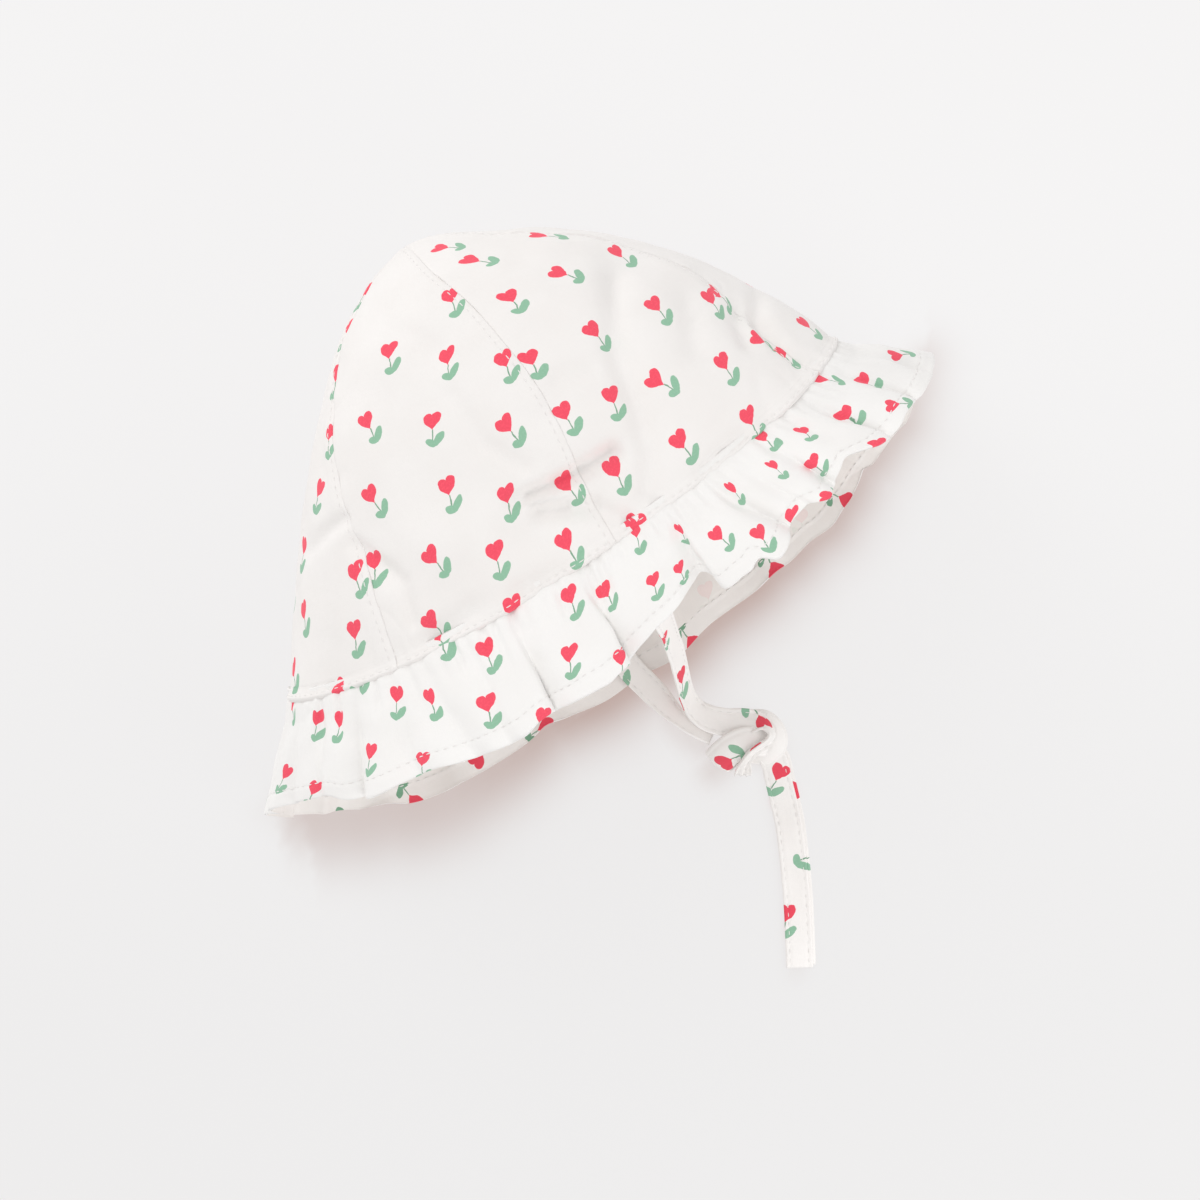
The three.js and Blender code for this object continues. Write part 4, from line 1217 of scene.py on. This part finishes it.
spaced = np.concatenate([np.arange(0, 4.2, 0.35), np.arange(4.2, 133.2, 1.0), [133.5]])
ALONG = spaced / GORE_LONG
seam_lines, edge_lines, gores = [], [], []
for k in range(6):
    name = f"crown_gore_{k + 1}"
    skin, out, low, high = gore_rows(k, ALONG, fractions)
    base = np.broadcast_to(spaced[:, None], low.shape)
    detail = gore_detail(skin, out, low, high, base)
    outer = skin + out * detail[..., None]
    outer[..., 2] = np.maximum(0, outer[..., 2])
    back = skin + out * (np.minimum(detail * 0.8, detail) - CLOTH)[..., None]
    back[..., 2] = np.maximum(CLOTH, back[..., 2])
    wide = low + high
    flat = np.stack([wide / 2 - low, base], -1)
    points, quads, kinds = wall(outer, back, False)
    uv = np.concatenate([flat.reshape(-1, 2)] * 2)
    marks = motif_uv(uv[quads], motif_places(name, outer, flat, out[..., 2]))
    o = build(name + "_cloth", points, quads, weave_at(name, uv[quads]), marks, (kinds == 1) * 1,
              [CROWN, CROWN_BACK], [name])
    gores.append(o)

    def along_seam(distance):
        line, normal = [], []
        for i in range(len(spaced) - 3):
            f = np.interp(distance, low[i], np.arange(low.shape[1]))
            if low[i, -1] + high[i, -1] < 3 * distance:
                break
            j = int(f)
            w = f - j
            line.append(outer[i, j] * (1 - w) + outer[i, j + 1] * w)
            normal.append(out[i, j])
        return np.array(line), np.array(normal)

    seam_lines.append(along_seam(1.9))
    row = int(np.argmin(np.abs(spaced - 1.8)))
    edge_lines.append((outer[row, 2:-2], out[row, 2:-2]))
crown_stitches = stitches("crown_stitching", seam_lines + edge_lines, THREAD)

# ---- the ruffle ----
ROUND = 1080
down_mm = np.concatenate([[-2.6, -1.5, -0.6], np.arange(0, 6, 0.75), np.arange(6, 26.5, 1.15),
                          np.arange(26.6, 33.5, 0.55), [33.6, 33.85, 34.0]])
arcs = np.arange(ROUND) / ROUND * GIRTH
arc, across = np.meshgrid(arcs, np.maximum(down_mm, 0) / RUFFLE_WIDE)
plain_skin = ruffle_plain(arc, across)
facing = ruffle_out(ruffle_plain, arc, across)
detail = ruffle_detail(arc, across, plain_skin)
top = plain_skin + facing * detail[..., None]
under = plain_skin + facing * (np.minimum(detail * 0.8, detail) - CLOTH)[..., None]
# the first rows are tucked up under the crown's turned edge
for r in range(3):
    up = place(ring(0.0), arcs)
    inner_way = unit(np.array([3.0, 60.0, 46.0]) - up)
    d = -down_mm[r]
    seat_up = np.stack([place(ring(0.0), arcs)[:, 0], place(ring(0.0), arcs)[:, 1] + d,
                        place(ring(0.0), arcs)[:, 2]], -1)
    top[r] = seat_up + inner_way * (1.0 + 0.1 * d)
    under[r] = top[r] + inner_way * CLOTH
top[..., 2] = np.maximum(0, top[..., 2])
under[..., 2] = np.maximum(CLOTH * 0.9, under[..., 2])
points, quads, kinds = wall(top, under, True)
lengths = np.linalg.norm(np.diff(np.concatenate([top[-6], top[-6][:1]]), axis=0), axis=1)
strip = np.concatenate([[0], np.cumsum(lengths)])
STRIP = float(strip[-1])
u_of = np.tile(np.tile(-strip[:-1], len(down_mm)), 2)
v_of = np.tile(np.repeat(-down_mm, ROUND), 2)
corners = np.stack([u_of[quads], v_of[quads]], -1)
column = quads % ROUND
crossing = (column.max(1) == ROUND - 1) & (column.min(1) == 0)
last = crossing[:, None] & (column == 0)
corners[..., 0][last] = -STRIP
looks = np.zeros(len(quads), int)
inside = kinds == 1
hem_faces = inside & (v_of[quads].mean(1) < -(RUFFLE_WIDE - HEM_WIDE))
looks[inside] = 1
looks[hem_faces] = 2
corners[..., 1][hem_faces] = -2 * RUFFLE_WIDE - corners[..., 1][hem_faces]
half = len(down_mm) * ROUND
flat = np.stack([u_of[:half], v_of[:half]], -1).reshape(*top.shape[:2], 2)
turned_in = down_mm > RUFFLE_WIDE - HEM_WIDE
places = motif_places("ruffle_brim", top, flat, facing[..., 2], (
    "ruffle_inside", under[turned_in], flat[turned_in] * [1, -1] - [0, 2 * RUFFLE_WIDE],
    -facing[turned_in][..., 2]))
ruffle = build("ruffle_gathered", points, quads, weave_at("ruffle_brim", corners),
               motif_uv(corners, places), looks,
               [RUFFLE, RUFFLE_BACK, HEM_IN], ["ruffle_brim"])
line_row = int(np.argmin(np.abs(down_mm - (RUFFLE_WIDE - HEM_WIDE + 0.7))))
hem_stitches = stitches("ruffle_stitching", [
    (np.concatenate([top[line_row], top[line_row][:1]]),
     np.concatenate([facing[line_row], facing[line_row][:1]])),
    (np.concatenate([under[line_row], under[line_row][:1]]),
     -np.concatenate([facing[line_row], facing[line_row][:1]]))], THREAD)

# ---- the painted shadow on the floor, from the distance to the hem straight above ----
# Painted shadow beside the hem: by picture column px, its depth, its reach in mm and the power of
# its fall-off.
PAINTED_SHADOW = table(["px", "deep", "reach", "power"], [
    [262, 0.0, 5, 1.5], [278, 0.15, 6, 1.8], [292, 0.45, 10, 2.0], [310, 0.62, 14, 2.3],
    [330, 0.58, 17.0, 2.6],
    [450, 0.64, 16.5, 2.4], [530, 0.85, 12, 1.9], [590, 1.0, 10.5, 1.6], [760, 0.95, 9.5, 1.5],
    [850, 0.78, 8.5, 1.5], [905, 0.6, 7.5, 1.5], [925, 0.35, 7, 1.5], [950, 0.1, 6, 1.5],
])
AWAY_RIGHT, AWAY_UP = np.array([0.837, -0.548]), np.array([0.548, 0.837])


def dropped(points):
    """The point on the floor straight below."""
    return points[..., :2]


def reach_to(spots, line):
    far, which = np.full(len(spots), 1e9), np.zeros(len(spots), int)
    for n, p in enumerate(line):
        d = np.hypot(spots[:, 0] - p[0], spots[:, 1] - p[1])
        nearer = d < far
        far[nearer], which[nearer] = d[nearer], n
    return far, which


spots = np.stack([floor_x, floor_y], -1).reshape(-1, 2) * 1000 + CENTRE[:2]
# shade holds the painted shadow's strength at each floor point
shade = np.zeros(len(spots))
inner = np.abs(np.stack([floor_x, floor_y], -1)).reshape(-1, 2).max(1) < 0.26
rim = np.concatenate([dropped(top[-1]), dropped(under[-1])])[::3]
outwards = unit(np.concatenate([dropped(top[-1]) - dropped(top[8])] * 2)[::3])
far, which = reach_to(spots[inner], rim)
px = rim[which] @ AWAY_RIGHT / 0.296 + 288 + (316 * 0.837 + 87 * 0.548)
deep, reach_, power_ = (np.interp(px, PAINTED_SHADOW["px"], PAINTED_SHADOW[k]) for k in ("deep", "reach", "power"))
behind = np.sum((spots[inner] - rim[which]) * outwards[which], -1) < 0
shade[inner] = deep * np.exp(-(far / np.where(behind, 4.0, reach_)) ** power_)
# Painted shadows of the knot's wrap, the lower strap and the long end, set a little towards the
# picture's lower left.
for made, deep_, reach_ in ((wrap, 0.34, 5.0), (lower, 0.30, 5.0), (long_end, 0.10, 3.5)):
    line = dropped(made["line"])[::3] - AWAY_UP * 2.2 - AWAY_RIGHT * 0.9
    far, _ = reach_to(spots[inner], line)
    shade[inner] = np.maximum(shade[inner], deep_ * np.exp(-(far / reach_) ** 2))
# Painted light falloff: the floor up to 6% darker towards the picture's bottom.
painted_falloff = 1 - 0.06 * step(-0.1, 0.18, -(spots - CENTRE[:2]) @ AWAY_UP * 0.001)
# The floor's colour: the painted shadow in a pinkish colour, times the painted falloff.
painted_floor_tone = (1 - shade[:, None] * (1 - np.array([0.62, 0.48, 0.44]))) * painted_falloff[:, None]
layer = floor_mesh.color_attributes.new("painted_floor_shadow", "FLOAT_COLOR", "POINT")
layer.data.foreach_set("color", np.concatenate(
    [painted_floor_tone, np.ones((len(painted_floor_tone), 1))], 1).astype(np.float32).ravel())
